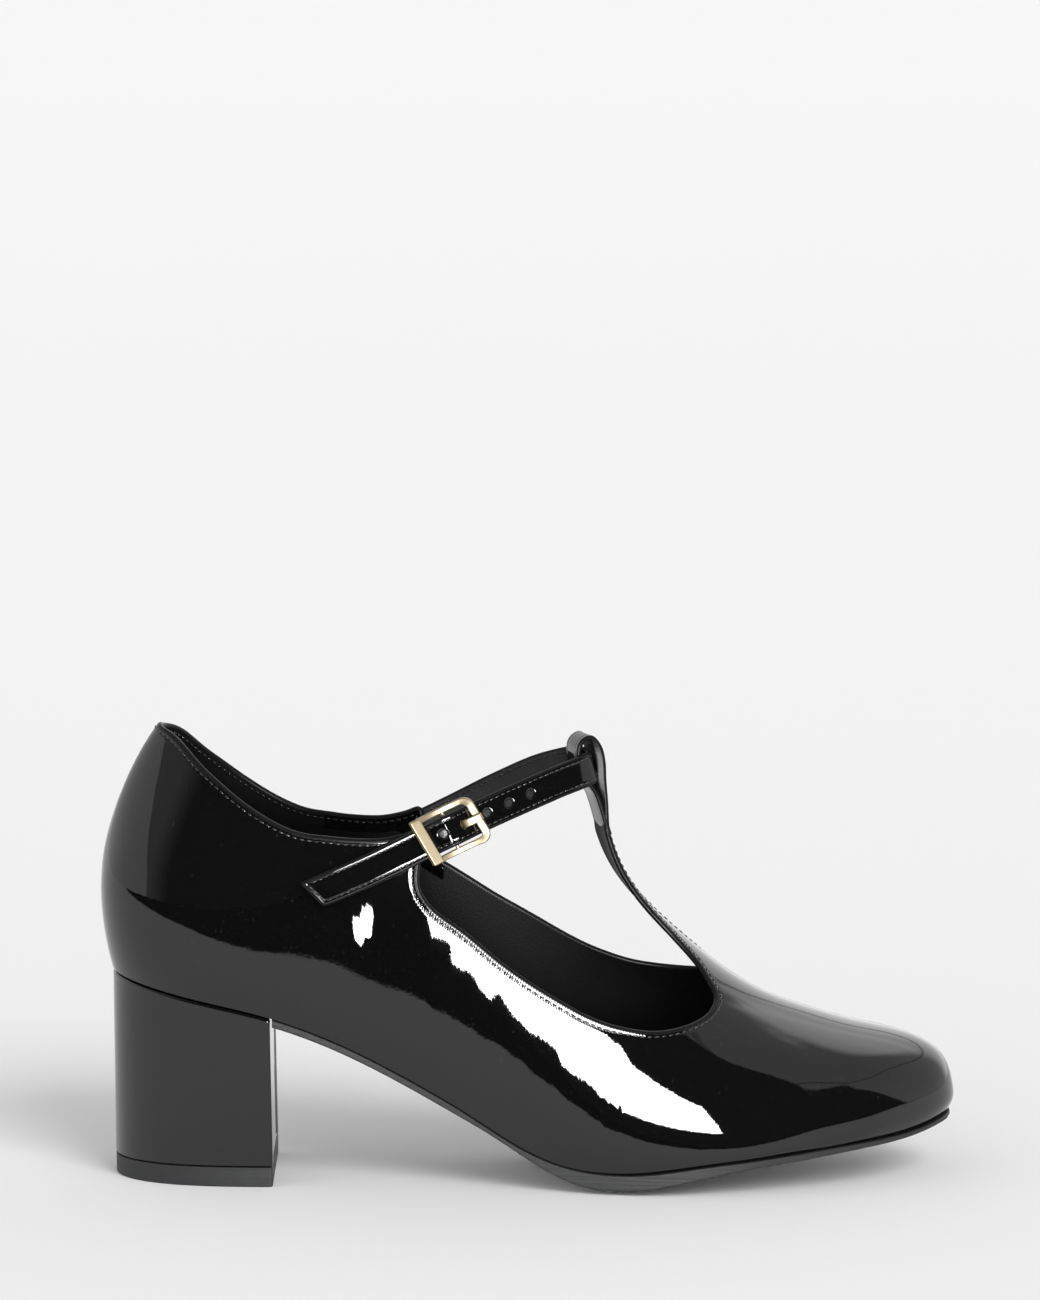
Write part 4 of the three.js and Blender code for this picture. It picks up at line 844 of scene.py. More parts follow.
@dataclass
class Upper:
    """Patent upper with its lining, folded edges and the loop at the top of the T-bar."""

    last: Last
    edge: CutEdge = CutEdge(curl=0.05, groove_depth=0.08)
    rib_count: int = 180
    turn_count: int = 66
    strip_rows: int = 8
    edge_step: float = 0.85
    bar_top: float = 0.53
    band_wall: float = 1.6
    bar_width: float = 11.0
    facing_width: float = 5.4
    quarter_turn: float = 3.2
    fold_wall: float = 1.3
    fold_span: tuple[float, float, float, float] = (0.12, 0.26, 0.5, 0.38)
    facing_span: tuple[float, float] = (-58.0, -24.0)
    flat_scale: tuple[float, float] = (7.5, 1.0)
    trim_round: float = 1.1
    crease_level: tuple[float, float] = (14.0, 9.0)
    loop_pivot: tuple[float, float] = (0.084, 0.004)
    loop_lean: float = 0.014
    loop_steps: int = 84
    loop_fade: float = 9.0
    tail_share: float = 0.6
    edge_columns: int = 5
    deep_share: float = 0.45
    sheet: Optional[LeatherSheet] = None
    open_run: tuple[int, int, int] = (0, 0, 0)

    def trim_path(self) -> Array:
        """Cut edge of the upper from the T-bar's inner top corner round the collar to its outer one."""
        rows = INNER_TBAR[::-1] + INNER_OPENING[::-1] + INNER_COLLAR[::-1]
        rows += OUTER_COLLAR + OUTER_OPENING + OUTER_TBAR
        scale = np.array(self.flat_scale)
        path = catmull(np.array(rows) * scale, 10) / scale
        return eased(path, self.last.rib_point, self.edge_step, self.trim_round)

    def make_sheet(self) -> None:
        """Lays out the net of the upper over the foot."""
        path = self.trim_path()
        path[0, 0] = path[-1, 0] = self.bar_top
        turns = np.linspace(path[-1, 1], path[0, 1], 400)
        far = distances(self.last.rib_point(np.full(len(turns), self.bar_top), turns))
        near = np.array([d for d in self.edge.rows()[1:] if d < far[-1] / 2 - 0.3])
        stops = np.concatenate([near, [far[-1] / 2], far[-1] - near[::-1]])
        row = np.stack([np.full(len(stops), self.bar_top), np.interp(stops, far, turns)], -1)
        loop = np.vstack([path, row])
        self.open_run = (0, len(path) - 1, len(loop))
        ribs = np.arange(self.rib_count + 1) / self.rib_count
        turns = np.arange(self.turn_count + 1) * math.pi / self.turn_count
        border = [(r, 0.0) for r in ribs] + [(1.0, t) for t in turns[1:]]
        border += [(r, math.pi) for r in ribs[::-1][1:]] + [(0.0, t) for t in turns[::-1][1:-1]]
        spread = np.array([(r, t) for r in ribs[1:-1] for t in turns[1:-1]])
        self.sheet = LeatherSheet(self.last.rib_point, self.last.rib_normal, self.edge, self.flat_scale)
        self.sheet.build([loop], [self.open_run], np.array(border), spread)

    def strip(self, side: Side, lining: bool) -> tuple[Array, Array, Array]:
        """Part between the widest line and the sole on one side."""
        ribs = np.arange(self.rib_count + 1) / self.rib_count
        downs = np.linspace(0, 1, self.strip_rows + 1)
        rib, down = np.meshgrid(ribs, downs, indexing="ij")
        points = self.last.strip_point(rib, side, down)
        normals = self.last.strip_normal(rib, side, down)
        turn = 0.0 if side is Side.OUTER else math.pi
        normals[:, 0] = self.last.rib_normal(ribs, np.full(len(ribs), turn))
        if lining:
            points = points - normals * self.edge.wall
        faces = grid_faces(len(ribs), len(downs))
        if (side is Side.OUTER) == lining:
            faces = faces[:, ::-1]
        return points.reshape(-1, 3), faces, (-normals if lining else normals).reshape(-1, 3)

    def foot_rim(self) -> tuple[Array, Array, Array]:
        """Narrow face that closes the wall underneath."""
        parts, faces, count = [], [], 0
        for side in Side:
            outer = self.strip(side, False)[0].reshape(self.rib_count + 1, -1, 3)[:, -1]
            inner = self.strip(side, True)[0].reshape(self.rib_count + 1, -1, 3)[:, -1]
            parts.append(np.stack([outer, inner], 1).reshape(-1, 3))
            made = grid_faces(self.rib_count + 1, 2)
            faces.append((made[:, ::-1] if side is Side.INNER else made) + count)
            count += len(parts[-1])
        points = np.vstack(parts)
        return points, np.vstack(faces), np.tile([0.0, 0.0, -1.0], (len(points), 1))

    def creased(self, points: Array, normals: Array) -> tuple[Array, Array]:
        """Presses the soft creases into the leather: new points and directions."""
        level = np.zeros(len(points))
        slope = np.zeros_like(points)
        for middle, way, reach, wide, depth in CREASES:
            local = points - np.array(middle)
            along = unit(np.array(way, float))
            nearest = normals[(local**2).sum(-1).argmin()]
            over = unit(np.cross(nearest, along))
            u, v = local @ along / reach, local @ over / wide
            dip = depth * np.exp(-u * u - v * v) * ramp(*self.crease_level, np.abs(local @ nearest))
            level -= dip
            slope += dip[:, None] * (2 * u[:, None] / reach * along + 2 * v[:, None] / wide * over)
        slope -= (slope * normals).sum(-1, keepdims=True) * normals
        return points + normals * level[:, None], unit(normals - slope)

    def leaned(self, points: Array, normals: Array) -> Array:
        """Directions with the soft flat of the outer quarter, where the leather is drawn in."""
        x, z = points[:, 0], points[:, 2]
        flat = ramp(-85, -70, x) * ramp(-26, -31, x - 9 * ramp(80, 84, z)) * ramp(0.0, 0.3, -normals[:, 1])
        full = ramp(-50, -47.5, x) * ramp(-42, -44.5, x) * ramp(67.5, 70.5, z) * ramp(80.5, 77.5, z)
        turn = math.radians(self.quarter_turn) * flat * (1 - full)
        return spun(normals, turn)

    def band_frames(self) -> Frames:
        """Path of the folded loop from the top of the T-bar over the strap and down behind."""
        turn = math.atan(self.last.bar_turn)
        across = np.array([-math.sin(turn), math.cos(turn), 0.0])
        ahead = np.array([math.cos(turn), math.sin(turn), 0.0])
        pivot = np.array([self.loop_pivot[0] * SHOE_LENGTH, self.loop_pivot[1] * BALL_WIDTH, 0.0])
        middle = np.full(2, math.pi / 2 + self.loop_lean)
        start = self.last.rib_point(np.array([self.bar_top + 0.008, self.bar_top]), middle)
        start = start - self.last.rib_normal(np.array([self.bar_top] * 2), middle) * self.band_wall / 2
        rows = []
        for at, rise in LOOP_PATH:
            rows.append(pivot + ahead * (at * SHOE_LENGTH - pivot[0]) + [0, 0, rise * COUNTER_HEIGHT])
        per = 12
        line = catmull(np.vstack([start, np.array(rows)]), per)[per:]
        far = distances(line)
        at = np.linspace(0, far[-1], self.loop_steps)
        origin = between(at, far, line)
        tangent = unit(np.gradient(origin, axis=0))
        width = np.tile(across, (len(at), 1))
        width = unit(width - (width * tangent).sum(-1, keepdims=True) * tangent)
        return Frames(origin, width, unit(np.cross(width, tangent)), tangent, at)

    def band(self) -> tuple[Array, Array, Array, Array]:
        """Folded loop as a closed strip that grows out of the T-bar."""
        frames = self.band_frames()
        top = self.sheet.uv[np.abs(self.sheet.uv[:, 0] - self.bar_top) < 1e-7]
        order = np.argsort(top[:, 1])
        index = np.nonzero(np.abs(self.sheet.uv[:, 0] - self.bar_top) < 1e-7)[0][order]
        outer = self.sheet.face()[0][index]
        inner = self.sheet.face(lining=True)[0][index]
        ring = np.vstack([outer, inner[::-1][1:-1]])
        local = ring - frames.origin[0]
        base = np.stack([local @ frames.across[0], local @ frames.out[0], local @ frames.tangent[0]], -1)
        gap = self.sheet.gap[index]
        level = self.edge.roll(gap)[0] + self.band_wall / 2
        flat_out = np.concatenate([level, -level[::-1][1:-1]])
        flat_out[:len(index)] += self.edge.groove(gap)[0]
        span = base[:, 0].max() - base[:, 0].min()
        middle = (base[:, 0].max() + base[:, 0].min()) / 2
        grid = []
        for i, far in enumerate(frames.at):
            fade = 1 - ramp(0, self.loop_fade, far)
            a = (base[:, 0] - middle * (1 - fade)) * (1 + (self.bar_width / span - 1) * (1 - fade))
            b = base[:, 1] * fade + flat_out * (1 - fade)
            c = base[:, 2] * fade
            share = i / (len(frames.at) - 1)
            fold = self.fold_wall * ramp(*self.fold_span[:2], share) * ramp(*self.fold_span[2:], share)
            b = np.where(b < 0, b - fold * ramp(0.0, -self.band_wall / 2, b), b)
            row = frames.origin[i] + np.outer(a, frames.across[i]) + np.outer(b, frames.out[i])
            grid.append(row + np.outer(c, frames.tangent[i]))
        grid = np.array(grid)
        normals = grid_normals(grid, True)
        normals = normals * np.sign((normals * (grid - grid.mean(1, keepdims=True))).sum())
        flat_normals = normals.reshape(-1, 3)
        columns = grid.shape[1]
        faces = agreeing(grid.reshape(-1, 3), grid_faces(len(grid), columns, True), flat_normals)
        marks = np.zeros(len(faces), int)
        lining = np.zeros(columns, bool)
        lining[len(index) + 2:-2] = True
        column, reach = faces % columns, self.edge_columns
        marks[lining[column].all(1)] = 1
        marks[(marks == 1) & (faces[:, 0] // columns > self.tail_share * len(grid))] = 2
        first_edge = ((column + reach) % columns <= 2 * reach).all(1)
        marks[first_edge | (np.abs(column - len(index) + 1) <= reach).all(1)] = 3
        return grid.reshape(-1, 3), faces, flat_normals, marks

    def build(
        self,
        patent: Material,
        lining: Material,
        raw: Material,
        edge: Material,
    ) -> Piece:
        """Makes the upper.

        Args:
            patent: outer face.
            lining: inner face.
            raw: cut leather on the loop's tail.
            edge: paint on the rolled edges.

        Returns:
            The upper.
        """
        self.make_sheet()
        outer = self.sheet.face()
        inner = self.sheet.face(lining=True)
        parts = [(*outer, self.sheet.rolled(outer[1]) * 3)]
        deep = self.sheet.gap[inner[1]].min(1) > self.edge.wall * self.deep_share
        x, y, _ = inner[0][inner[1]].mean(1).T
        facing = self.sheet.gap[inner[1]].max(1) < self.facing_width
        facing &= (y > 0) & (x > self.facing_span[0]) & (x < self.facing_span[1])
        parts.append((*inner, np.where(deep, (~facing).astype(int), 3)))
        for side in Side:
            parts.append((*self.strip(side, False), 0))
            parts.append((*self.strip(side, True), 1))
        parts += [(*self.foot_rim(), 1), self.band()]
        p, f, n, m = merged(parts)
        p, n = self.creased(p, n)
        return object_from("upper_leather", p, f, [patent, lining, raw, edge], self.leaned(p, n), m)


def merged(parts: Sequence[tuple[Array, Array, Array, object]]) -> tuple[Array, Array, Array, Array]:
    """Welds parts given as points, triangles, directions and material numbers."""
    count = 0
    points, faces, normals, marks = [], [], [], []
    for p, f, n, m in parts:
        points.append(p)
        faces.append(f + count)
        normals.append(n)
        marks.append(np.full(len(f), m) if np.isscalar(m) else m)
        count += len(p)
    return weld(np.vstack(points), np.vstack(faces), np.vstack(normals), np.concatenate(marks))


def joined(
    name: str,
    parts: Sequence[tuple[Array, Array, Array, object]],
    materials: Sequence[Material],
) -> Piece:
    """Makes one object of parts given as points, triangles, directions and material numbers."""
    p, f, n, m = merged(parts)
    return object_from(name, p, f, materials, n, m)


@dataclass
class Slab:
    """Sole layer: plan outline at stations, with upright sides, rounded edges and shaped faces."""

    stations: Array
    centre: Array
    half: Array
    top: Callable[[Array, Array], Array]
    bottom: Callable[[Array, Array], Array]
    upper_round: float = 0.3
    lower_round: float = 0.5
    rows: int = 14

    def ring(self) -> tuple[Array, Array]:
        """Plan loop, outer side first from the back, and its outward directions."""
        x = np.concatenate([self.stations, self.stations[::-1]])
        y = np.concatenate([self.centre - self.half, (self.centre + self.half)[::-1]])
        loop = np.stack([x, y], -1)
        along = np.roll(loop, -1, axis=0) - np.roll(loop, 1, axis=0)
        along[0] = loop[1] - loop[0]
        along[-1] = loop[-1] - loop[-2]
        return loop, unit(np.stack([along[:, 1], -along[:, 0]], -1))

    def build(self, name: str, materials: Sequence[Material]) -> Piece:
        """Makes the layer as one closed mesh; its sides take the second material."""
        loop, out = self.ring()
        side = np.concatenate([-np.ones(len(self.stations)), np.ones(len(self.stations))])
        high = self.top(loop[:, 0], side)
        low = self.bottom(loop[:, 0], side)
        rings, ways = [], []
        turns = np.linspace(math.pi / 2, 0, 5), np.linspace(0, -math.pi / 2, 6)
        for angles, r, level, up in zip(turns, (self.upper_round, self.lower_round), (high, low), (1, -1)):
            for a in angles:
                z = level - up * r * (1 - up * math.sin(a))
                rings.append(np.column_stack([loop - out * r * (1 - math.cos(a)), z]))
                ways.append(np.column_stack([out * math.cos(a), np.full(len(loop), math.sin(a))]))
        rings, ways = np.array(rings), np.array(ways)
        n = len(loop)
        walls = grid_faces(len(rings), n, True)[:, ::-1]
        back = (walls % n == 0).any(1) & (walls % n == n - 1).any(1)
        parts = [(rings.reshape(-1, 3), walls[~back], ways.reshape(-1, 3), 1)]
        for which, flip, level in ((0, False, self.top), (-1, True, self.bottom)):
            left = rings[which, :n // 2]
            right = rings[which, n // 2:][::-1]
            q = np.linspace(0, 1, self.rows + 1)[None, :, None]
            grid = left[:, None] * (1 - q) + right[:, None] * q
            across = 2 * q[0, :, 0] - 1
            inner = level(grid[..., 0], np.broadcast_to(across, grid.shape[:2]))
            grid[:, 1:-1, 2] = inner[:, 1:-1]
            normals = grid_normals(grid, False)
            normals *= np.sign(normals[..., 2:]) * (-1 if flip else 1)
            made = grid_faces(len(left), self.rows + 1)
            parts.append((grid.reshape(-1, 3), made if flip else made[:, ::-1], normals.reshape(-1, 3), 0))
        ends = np.stack([rings[:, 0], rings[:, -1]], 1)
        made = grid_faces(len(rings), 2)
        parts.append((ends.reshape(-1, 3), made[:, ::-1], np.tile([-1.0, 0, 0], (2 * len(rings), 1)), 1))
        return joined(name, parts, materials)


@dataclass
class Sole:
    """Outsole with its toe spring and ball, and the sock inside the shoe."""

    last: Last
    margin: float = 0.9
    thickness: float = 3.4
    ball_pad: float = 4.1
    tread_crown: float = 1.3
    breast: float = SOLE_BREAST
    sock_gap: float = 2.6
    sock_thickness: float = 2.2
    sock_rise: float = 0.4
    sock_dish: float = 0.6
    toe_thinning: float = 0.25
    pad_back: tuple[float, float] = (-15.0, 24.0)
    pad_front: tuple[float, float] = (66.0, 22.0)
    flat_share: float = 0.25

    def outsole(self, materials: Sequence[Material]) -> Piece:
        """Makes the outsole."""
        last = self.last
        front = last.feather_front + self.margin
        stations = self.breast + (front - 0.004 - self.breast) * np.sin(np.linspace(0, math.pi / 2, 190))
        ends = round_end(front - stations, last.toe_round + self.margin)
        lip = self.margin * np.minimum(1, 6 * ends) * ramp(-75, 10, stations)
        half = last.feather_half(stations) * ends + lip
        half[-1] = min(half[-1], 0.4)

        def top(x: Array, _: Array) -> Array:
            return last.seam_rise(np.minimum(x, last.feather_front))

        def bottom(x: Array, q: Array) -> Array:
            thick = self.thickness * (1 - self.toe_thinning * ramp(60, 121, x))
            pad = self.ball_pad * ramp(*self.pad_back, x) * ramp(*self.pad_front, x)
            edge = np.maximum(0, np.abs(q) - self.flat_share) / (1 - self.flat_share)
            low = last.feather_rise(np.minimum(x, last.feather_front)) - thick - pad
            return np.maximum(low, 0) + self.tread_crown * edge * edge

        slab = Slab(stations, last.feather_centre(stations), half, top, bottom, 0.35, 0.6, 20)
        return slab.build("outsole_tread", materials)

    def sock(self, material: Material) -> Piece:
        """Makes the padded sock over the insole."""
        last, gap = self.last, self.sock_gap
        back, front = last.feather_back + gap, last.feather_front - gap
        stations = bunched(np.linspace(0, 1, 150), back + 0.02, front - 0.02)
        ends = round_end(stations - back, last.heel_round - gap) * round_end(front - stations, last.toe_round - gap)
        half = np.maximum((last.feather_half(stations) - gap) * ends, 0.3)

        def bottom(x: Array, _: Array) -> Array:
            return last.feather_rise(x) + self.sock_rise

        def top(x: Array, q: Array) -> Array:
            return bottom(x, q) + self.sock_thickness + self.sock_dish * q**4

        slab = Slab(stations, last.feather_centre(stations), half, top, bottom, 0.5, 0.3, 24)
        return slab.build("insole_sock", [material, material])


@dataclass
class HeelStack:
    """Covered block heel and its top lift."""

    last: Last
    breast: float = -72.4
    lift: float = 5.6
    gap: float = 0.3
    corner: float = 0.45
    count: int = 420
    rows: int = 26
    flap: float = 4.6
    flap_step: float = 0.28
    flap_line: tuple[float, float] = (-0.2, 0.25)
    back_lean: float = 0.6
    lean: float = 0.9
    seat_gap: float = 0.05
    lift_inset: float = 0.1

    def plan(self, level: float, inset: float) -> Array:
        """Plan outline at a height, from the inner breast corner round the back."""
        fall = 1 - level / SEAT_HEIGHT
        back = self.last.feather_back + self.back_lean * fall + inset
        breast = self.breast + self.lean * fall - inset
        x = back + (breast - back) * (1 - np.cos(np.linspace(0, math.pi / 2, 160)))
        ends = round_end(x - back, self.last.heel_round)
        half = (self.last.feather_half(x) - self.lean * fall - inset) * ends
        loop = np.vstack([np.stack([x, half], -1)[::-1], np.stack([x[1:], -half[1:]], -1)])
        closed = np.vstack([loop, loop[:1]])
        far = distances(closed)
        even = between(np.linspace(0, far[-1], self.count, endpoint=False), far, closed)
        step = far[-1] / self.count
        reach = int(4 * self.corner / step) + 1
        offsets = np.arange(-reach, reach + 1) * step / self.corner
        return softened(np.vstack([even[-reach:], even, even[:reach]]), offsets)

    def block(
        self,
        name: str,
        low: Callable[[Array], Array],
        high: Callable[[Array], Array],
        rounds: tuple[float, float],
        inset: float,
        flap: bool,
        material: Material,
    ) -> Piece:
        """Makes one closed block.

        Args:
            name: the piece's name.
            low: height of the lower face at a station.
            high: height of the upper face at a station.
            rounds: radius of the lower and upper edge.
            inset: how far the sides stand in.
            flap: whether the cover's edges show on the breast.
            material: the block's material.

        Returns:
            The block.
        """
        base = self.plan(0, inset)
        bottom, top = low(base[:, 0]), high(base[:, 0])
        turns = [(a, 0) for a in np.linspace(-math.pi / 2, 0, 6)]
        turns += [(0.0, k) for k in np.linspace(0, 1, self.rows)[1:-1]]
        turns += [(a, 1) for a in np.linspace(0, math.pi / 2, 6)]
        rings, ways = [], []
        for a, k in turns:
            r = rounds[0] if a < 0 or k == 0 else rounds[1]
            if a < 0 or (a == 0 and k == 0):
                z = bottom + r * (1 + math.sin(a))
            elif k == 1:
                z = top - r * (1 - math.sin(a))
            else:
                z = (bottom + rounds[0]) * (1 - k) + (top - rounds[1]) * k
            loop = self.plan(float(z.mean()), inset)
            along = np.roll(loop, -1, axis=0) - np.roll(loop, 1, axis=0)
            out = unit(np.stack([along[:, 1], -along[:, 0]], -1))
            if out[0] @ (loop[0] - loop.mean(0)) < 0:
                out = -out
            dent = np.zeros(len(loop))
            if flap:
                edge = np.abs(loop[:, 1]) - (np.abs(loop[:, 1]).max() - self.flap)
                front = loop[:, 0] > self.breast - 1.0
                dent = np.where(front, self.flap_step * (1 - ramp(*self.flap_line, edge)), 0.0)
            shape = loop - out * (r * (1 - math.cos(a)) + dent)[:, None]
            rings.append(np.column_stack([shape, z]))
            lean = out
            if flap:
                tilt = np.gradient(dent) / (np.linalg.norm(np.gradient(loop, axis=0), axis=-1) + 1e-9)
                lean = unit(out + unit(along) * tilt[:, None])
            ways.append(np.column_stack([lean * math.cos(a), np.full(len(loop), math.sin(a))]))
        rings, ways = np.array(rings), np.array(ways)
        n = rings.shape[1]
        faces = grid_faces(len(rings), n, True)
        p, ways = rings.reshape(-1, 3), ways.reshape(-1, 3)
        parts = [(p, agreeing(p, faces, ways), ways, 0)]
        for which, up in ((0, -1.0), (-1, 1.0)):
            rim = rings[which]
            fan = np.vstack([rim, rim.mean(0)])
            made = np.array([(j, (j + 1) % n, n) for j in range(n)])
            turn = np.cross(fan[made[0, 1]] - fan[made[0, 0]], fan[n] - fan[made[0, 0]])[2]
            made = made if turn * up > 0 else made[:, ::-1]
            parts.append((fan, made, np.tile([0, 0, up], (n + 1, 1)), 0))
        return joined(name, parts, [material])

    def cover(self, material: Material) -> Piece:
        """Makes the covered block."""
        foot = self.lift + self.gap

        def low(x: Array) -> Array:
            return np.full(len(x), foot)

        def high(x: Array) -> Array:
            return self.last.feather_rise(x) - self.seat_gap

        return self.block("heel_block", low, high, (0.5, 0.9), 0.0, True, material)

    def top_lift(self, material: Material) -> Piece:
        """Makes the top lift."""

        def high(x: Array) -> Array:
            return np.full(len(x), self.lift)

        inset = self.lift_inset
        return self.block("heel_top_lift", np.zeros_like, high, (0.5, 0.25), inset, False, material)


@dataclass
class StrapPath:
    """Path of the ankle strap by distance from the buckle's middle."""

    buckle_at: float = -0.0905
    hump: float = 1.9
    buckle_length: float = 18.4

    def __post_init__(self) -> None:
        """Lays the smooth path and its directions."""
        rows = np.array(STRAP_PATH)
        knots = rows[:, :3] * [SHOE_LENGTH, BALL_WIDTH, COUNTER_HEIGHT]
        line = catmull(knots, 60)
        lean = Spline(range(len(rows)), rows[:, 3])(np.linspace(0, len(rows) - 1, len(line)))
        far = distances(line)
        ahead = unit(np.gradient(line, axis=0))
        side = unit(np.stack([ahead[:, 1], -ahead[:, 0], np.zeros(len(line))], -1))
        up = np.array([0, 0, 1.0]) - side * lean[:, None]
        out = -unit(np.cross(up, ahead))
        across = unit(np.cross(ahead, out))
        far = far - far[np.nonzero(line[:, 0] > self.buckle_at * SHOE_LENGTH)[0][0]]
        self.start, self.end = float(far[0]), float(far[-1])
        pick = np.unique(np.linspace(0, len(line) - 1, 110).astype(int))
        self.curves = [[Spline(far[pick], v[pick, k]) for k in range(3)] for v in (line, across, out)]
        self.middle = self.frame(np.zeros(1))
        self.ahead = unit(np.cross(self.middle[2], self.middle[1]))[0]
        if self.ahead[0] < 0:
            self.ahead = -self.ahead

    def frame(self, at: Array) -> tuple[Array, Array, Array]:
        """Base line, cross direction and outward direction at distances."""
        made = [np.stack([c(at) for c in group], -1) for group in self.curves]
        return made[0], unit(made[1]), unit(made[2])

    def rise(self, at: Array) -> Array:
        """Rise of the strap over the buckle's pivot bar."""
        q = np.minimum(np.abs(at) / (self.buckle_length / 2), 1)
        return self.hump * (1 + np.cos(np.pi * q)) / 2

    def point(self, at: Array, across: Array, level: float) -> Array:
        """Points at a height over the strap's middle surface."""
        origin, width, out = self.frame(at)
        return origin + width * across[..., None] + out * (self.rise(at) + level)[..., None]

    def buckled(self, along: Array, across: Array, out: Array) -> Array:
        """Points in the buckle's own straight frame."""
        origin, width, way = (v[0] for v in self.middle)
        level = origin + np.multiply.outer(along, self.ahead) + np.multiply.outer(across, width)
        return level + np.multiply.outer(out, way)

    def turned(self, along: Array, across: Array, out: Array) -> Array:
        """Directions in the buckle's own straight frame."""
        zero = np.zeros(len(along))
        return unit(self.buckled(along, across, out) - self.buckled(zero, zero, zero))


@dataclass
class AnkleStrap:
    """Stitched patent strap with its punched holes."""

    path: StrapPath
    width: float = 9.0
    thickness: float = 1.4
    hole: float = 2.2
    hole_step: float = 7.0
    tail_turn: float = 4.5
    first_hole: float = 4.4
    slant: tuple[float, float] = (-1.7, 2.0)
    holes: tuple[int, ...] = (-1, 0, 1, 2, 3)
    outline_step: float = 0.55
    corner_reach: int = 3
    tail_span: tuple[float, float] = (-9.0, -15.0)
    deep_gap: float = 0.5
    backing_level: float = 0.25
    backing_size: float = 1.12
    edge: CutEdge = CutEdge(1.4, 1.35, 0.07, 0.28, (0.6, 1.2))
    sheet: Optional[LeatherSheet] = None

    def place(self, at: Array, across: Array) -> Array:
        """Outer face of the strap."""
        return self.path.point(at, across, self.thickness / 2)

    def facing(self, at: Array, across: Array, step: float = 0.05) -> Array:
        """Outward directions of the strap."""
        along = self.place(at + step, across) - self.place(at - step, across)
        over = self.place(at, across + step) - self.place(at, across - step)
        way = unit(np.cross(over, along))
        out = self.path.frame(at)[2]
        return way * np.sign((way * out).sum(-1, keepdims=True))

    def build(self, patent: Material, lining: Material, edge: Material) -> Piece:
        """Makes the strap.

        Args:
            patent: outer face.
            lining: inner face.
            edge: paint on the rolled edges.

        Returns:
            The strap.
        """
        half, start, end = self.width / 2, self.path.start, self.path.end
        back, front = start + self.slant[0], start + self.slant[1]
        corners = np.array([(back, -half), (end, -half), (end, half), (front, half)])
        outline = resample(corners, self.place, self.outline_step, True)
        reach = self.corner_reach
        padded = np.vstack([outline[-reach:], outline, outline[:reach]])
        loops = [softened(padded, np.arange(-reach, reach + 1.0))]
        turn = np.linspace(0, 2 * math.pi, 28, endpoint=False)
        r = self.hole / 2
        for k in self.holes:
            middle = self.first_hole + self.hole_step * k
            loops.append(np.stack([middle + r * np.cos(turn), r * np.sin(turn)], -1))
        rows = np.linspace(-half + 0.5, half - 0.5, 11)
        spread = np.array([(a, b) for a in np.arange(start, end, 0.9) for b in rows])
        self.sheet = LeatherSheet(self.place, self.facing, self.edge)
        self.sheet.build(loops, [], np.zeros((0, 2)), spread)
        (p, f, n), inner = self.sheet.face(), self.sheet.face(lining=True)
        turn = math.radians(self.tail_turn) * ramp(*self.tail_span, p[:, 0]) * (p[:, 1] < 0)
        parts = [(p, f, spun(n, turn), self.sheet.rolled(f) * 2)]
        deep = self.sheet.gap[inner[1]].min(1) > self.deep_gap
        parts.append((*inner, np.where(deep, 1, 2)))
        parts += [self.backing(loop) for loop in loops[1:]]
        return joined("ankle_strap_leather", parts, [patent, lining, edge])

    def backing(self, loop: Array) -> tuple[Array, Array, Array, int]:
        """Lining that shows dark inside a punched hole."""
        middle = loop.mean(0)
        flat = np.vstack([middle + (loop - middle) * self.backing_size, middle])
        points = self.path.point(flat[:, 0], flat[:, 1], self.backing_level - self.thickness / 2)
        normals = self.facing(flat[:, 0], flat[:, 1])
        n = len(loop)
        faces = np.array([(j, (j + 1) % n, n) for j in range(n)])
        return points, agreeing(points, faces, normals), normals, 1


def rounded_section(wide: float, tall: float, corner: float, per: int = 5) -> Array:
    """Loop of a rounded rectangle."""
    out = []
    x, y = wide / 2 - corner, tall / 2 - corner
    for k, (sx, sy) in enumerate(((1, 1), (-1, 1), (-1, -1), (1, -1))):
        for a in np.linspace(0, math.pi / 2, per):
            t = a + k * math.pi / 2
            out.append((sx * x + corner * math.cos(t), sy * y + corner * math.sin(t)))
    return np.array(out)


def swept(origins: Array, side: Array, out: Array, sections: Array) -> tuple[Array, Array, Array, int]:
    """Sweeps sections along an open path and caps its ends.

    Args:
        origins: points of the path.
        side: the sections' first direction at each point.
        out: the sections' second direction at each point.
        sections: one loop of (side, out) values for each point.

    Returns:
        Points, triangles turned outwards, a direction for each point, and material number 0.
    """
    grid = origins[:, None] + side[:, None] * sections[..., :1] + out[:, None] * sections[..., 1:]
    n, m = grid.shape[:2]
    over = np.roll(grid, -1, axis=1) - np.roll(grid, 1, axis=1)
    along = np.roll(grid, -1, axis=0) - np.roll(grid, 1, axis=0)
    along[0], along[-1] = grid[1] - grid[0], grid[-1] - grid[-2]
    normals = unit(np.cross(over, along))
    normals = normals * np.sign((normals * (grid - grid.mean(1, keepdims=True))).sum())
    p, normals = grid.reshape(-1, 3), normals.reshape(-1, 3)
    faces = agreeing(p, grid_faces(n, m, True), normals)
    for base, ahead in ((0, -along[0].mean(0)), ((n - 1) * m, along[-1].mean(0))):
        cap = np.array([(base, base + j, base + j + 1) for j in range(1, m - 1)])
        for k, (a, b, c) in enumerate(cap):
            if np.cross(p[b] - p[a], p[c] - p[a]) @ ahead < 0:
                cap[k] = c, b, a
        faces = np.vstack([faces, cap])
    return p, faces, normals, 0


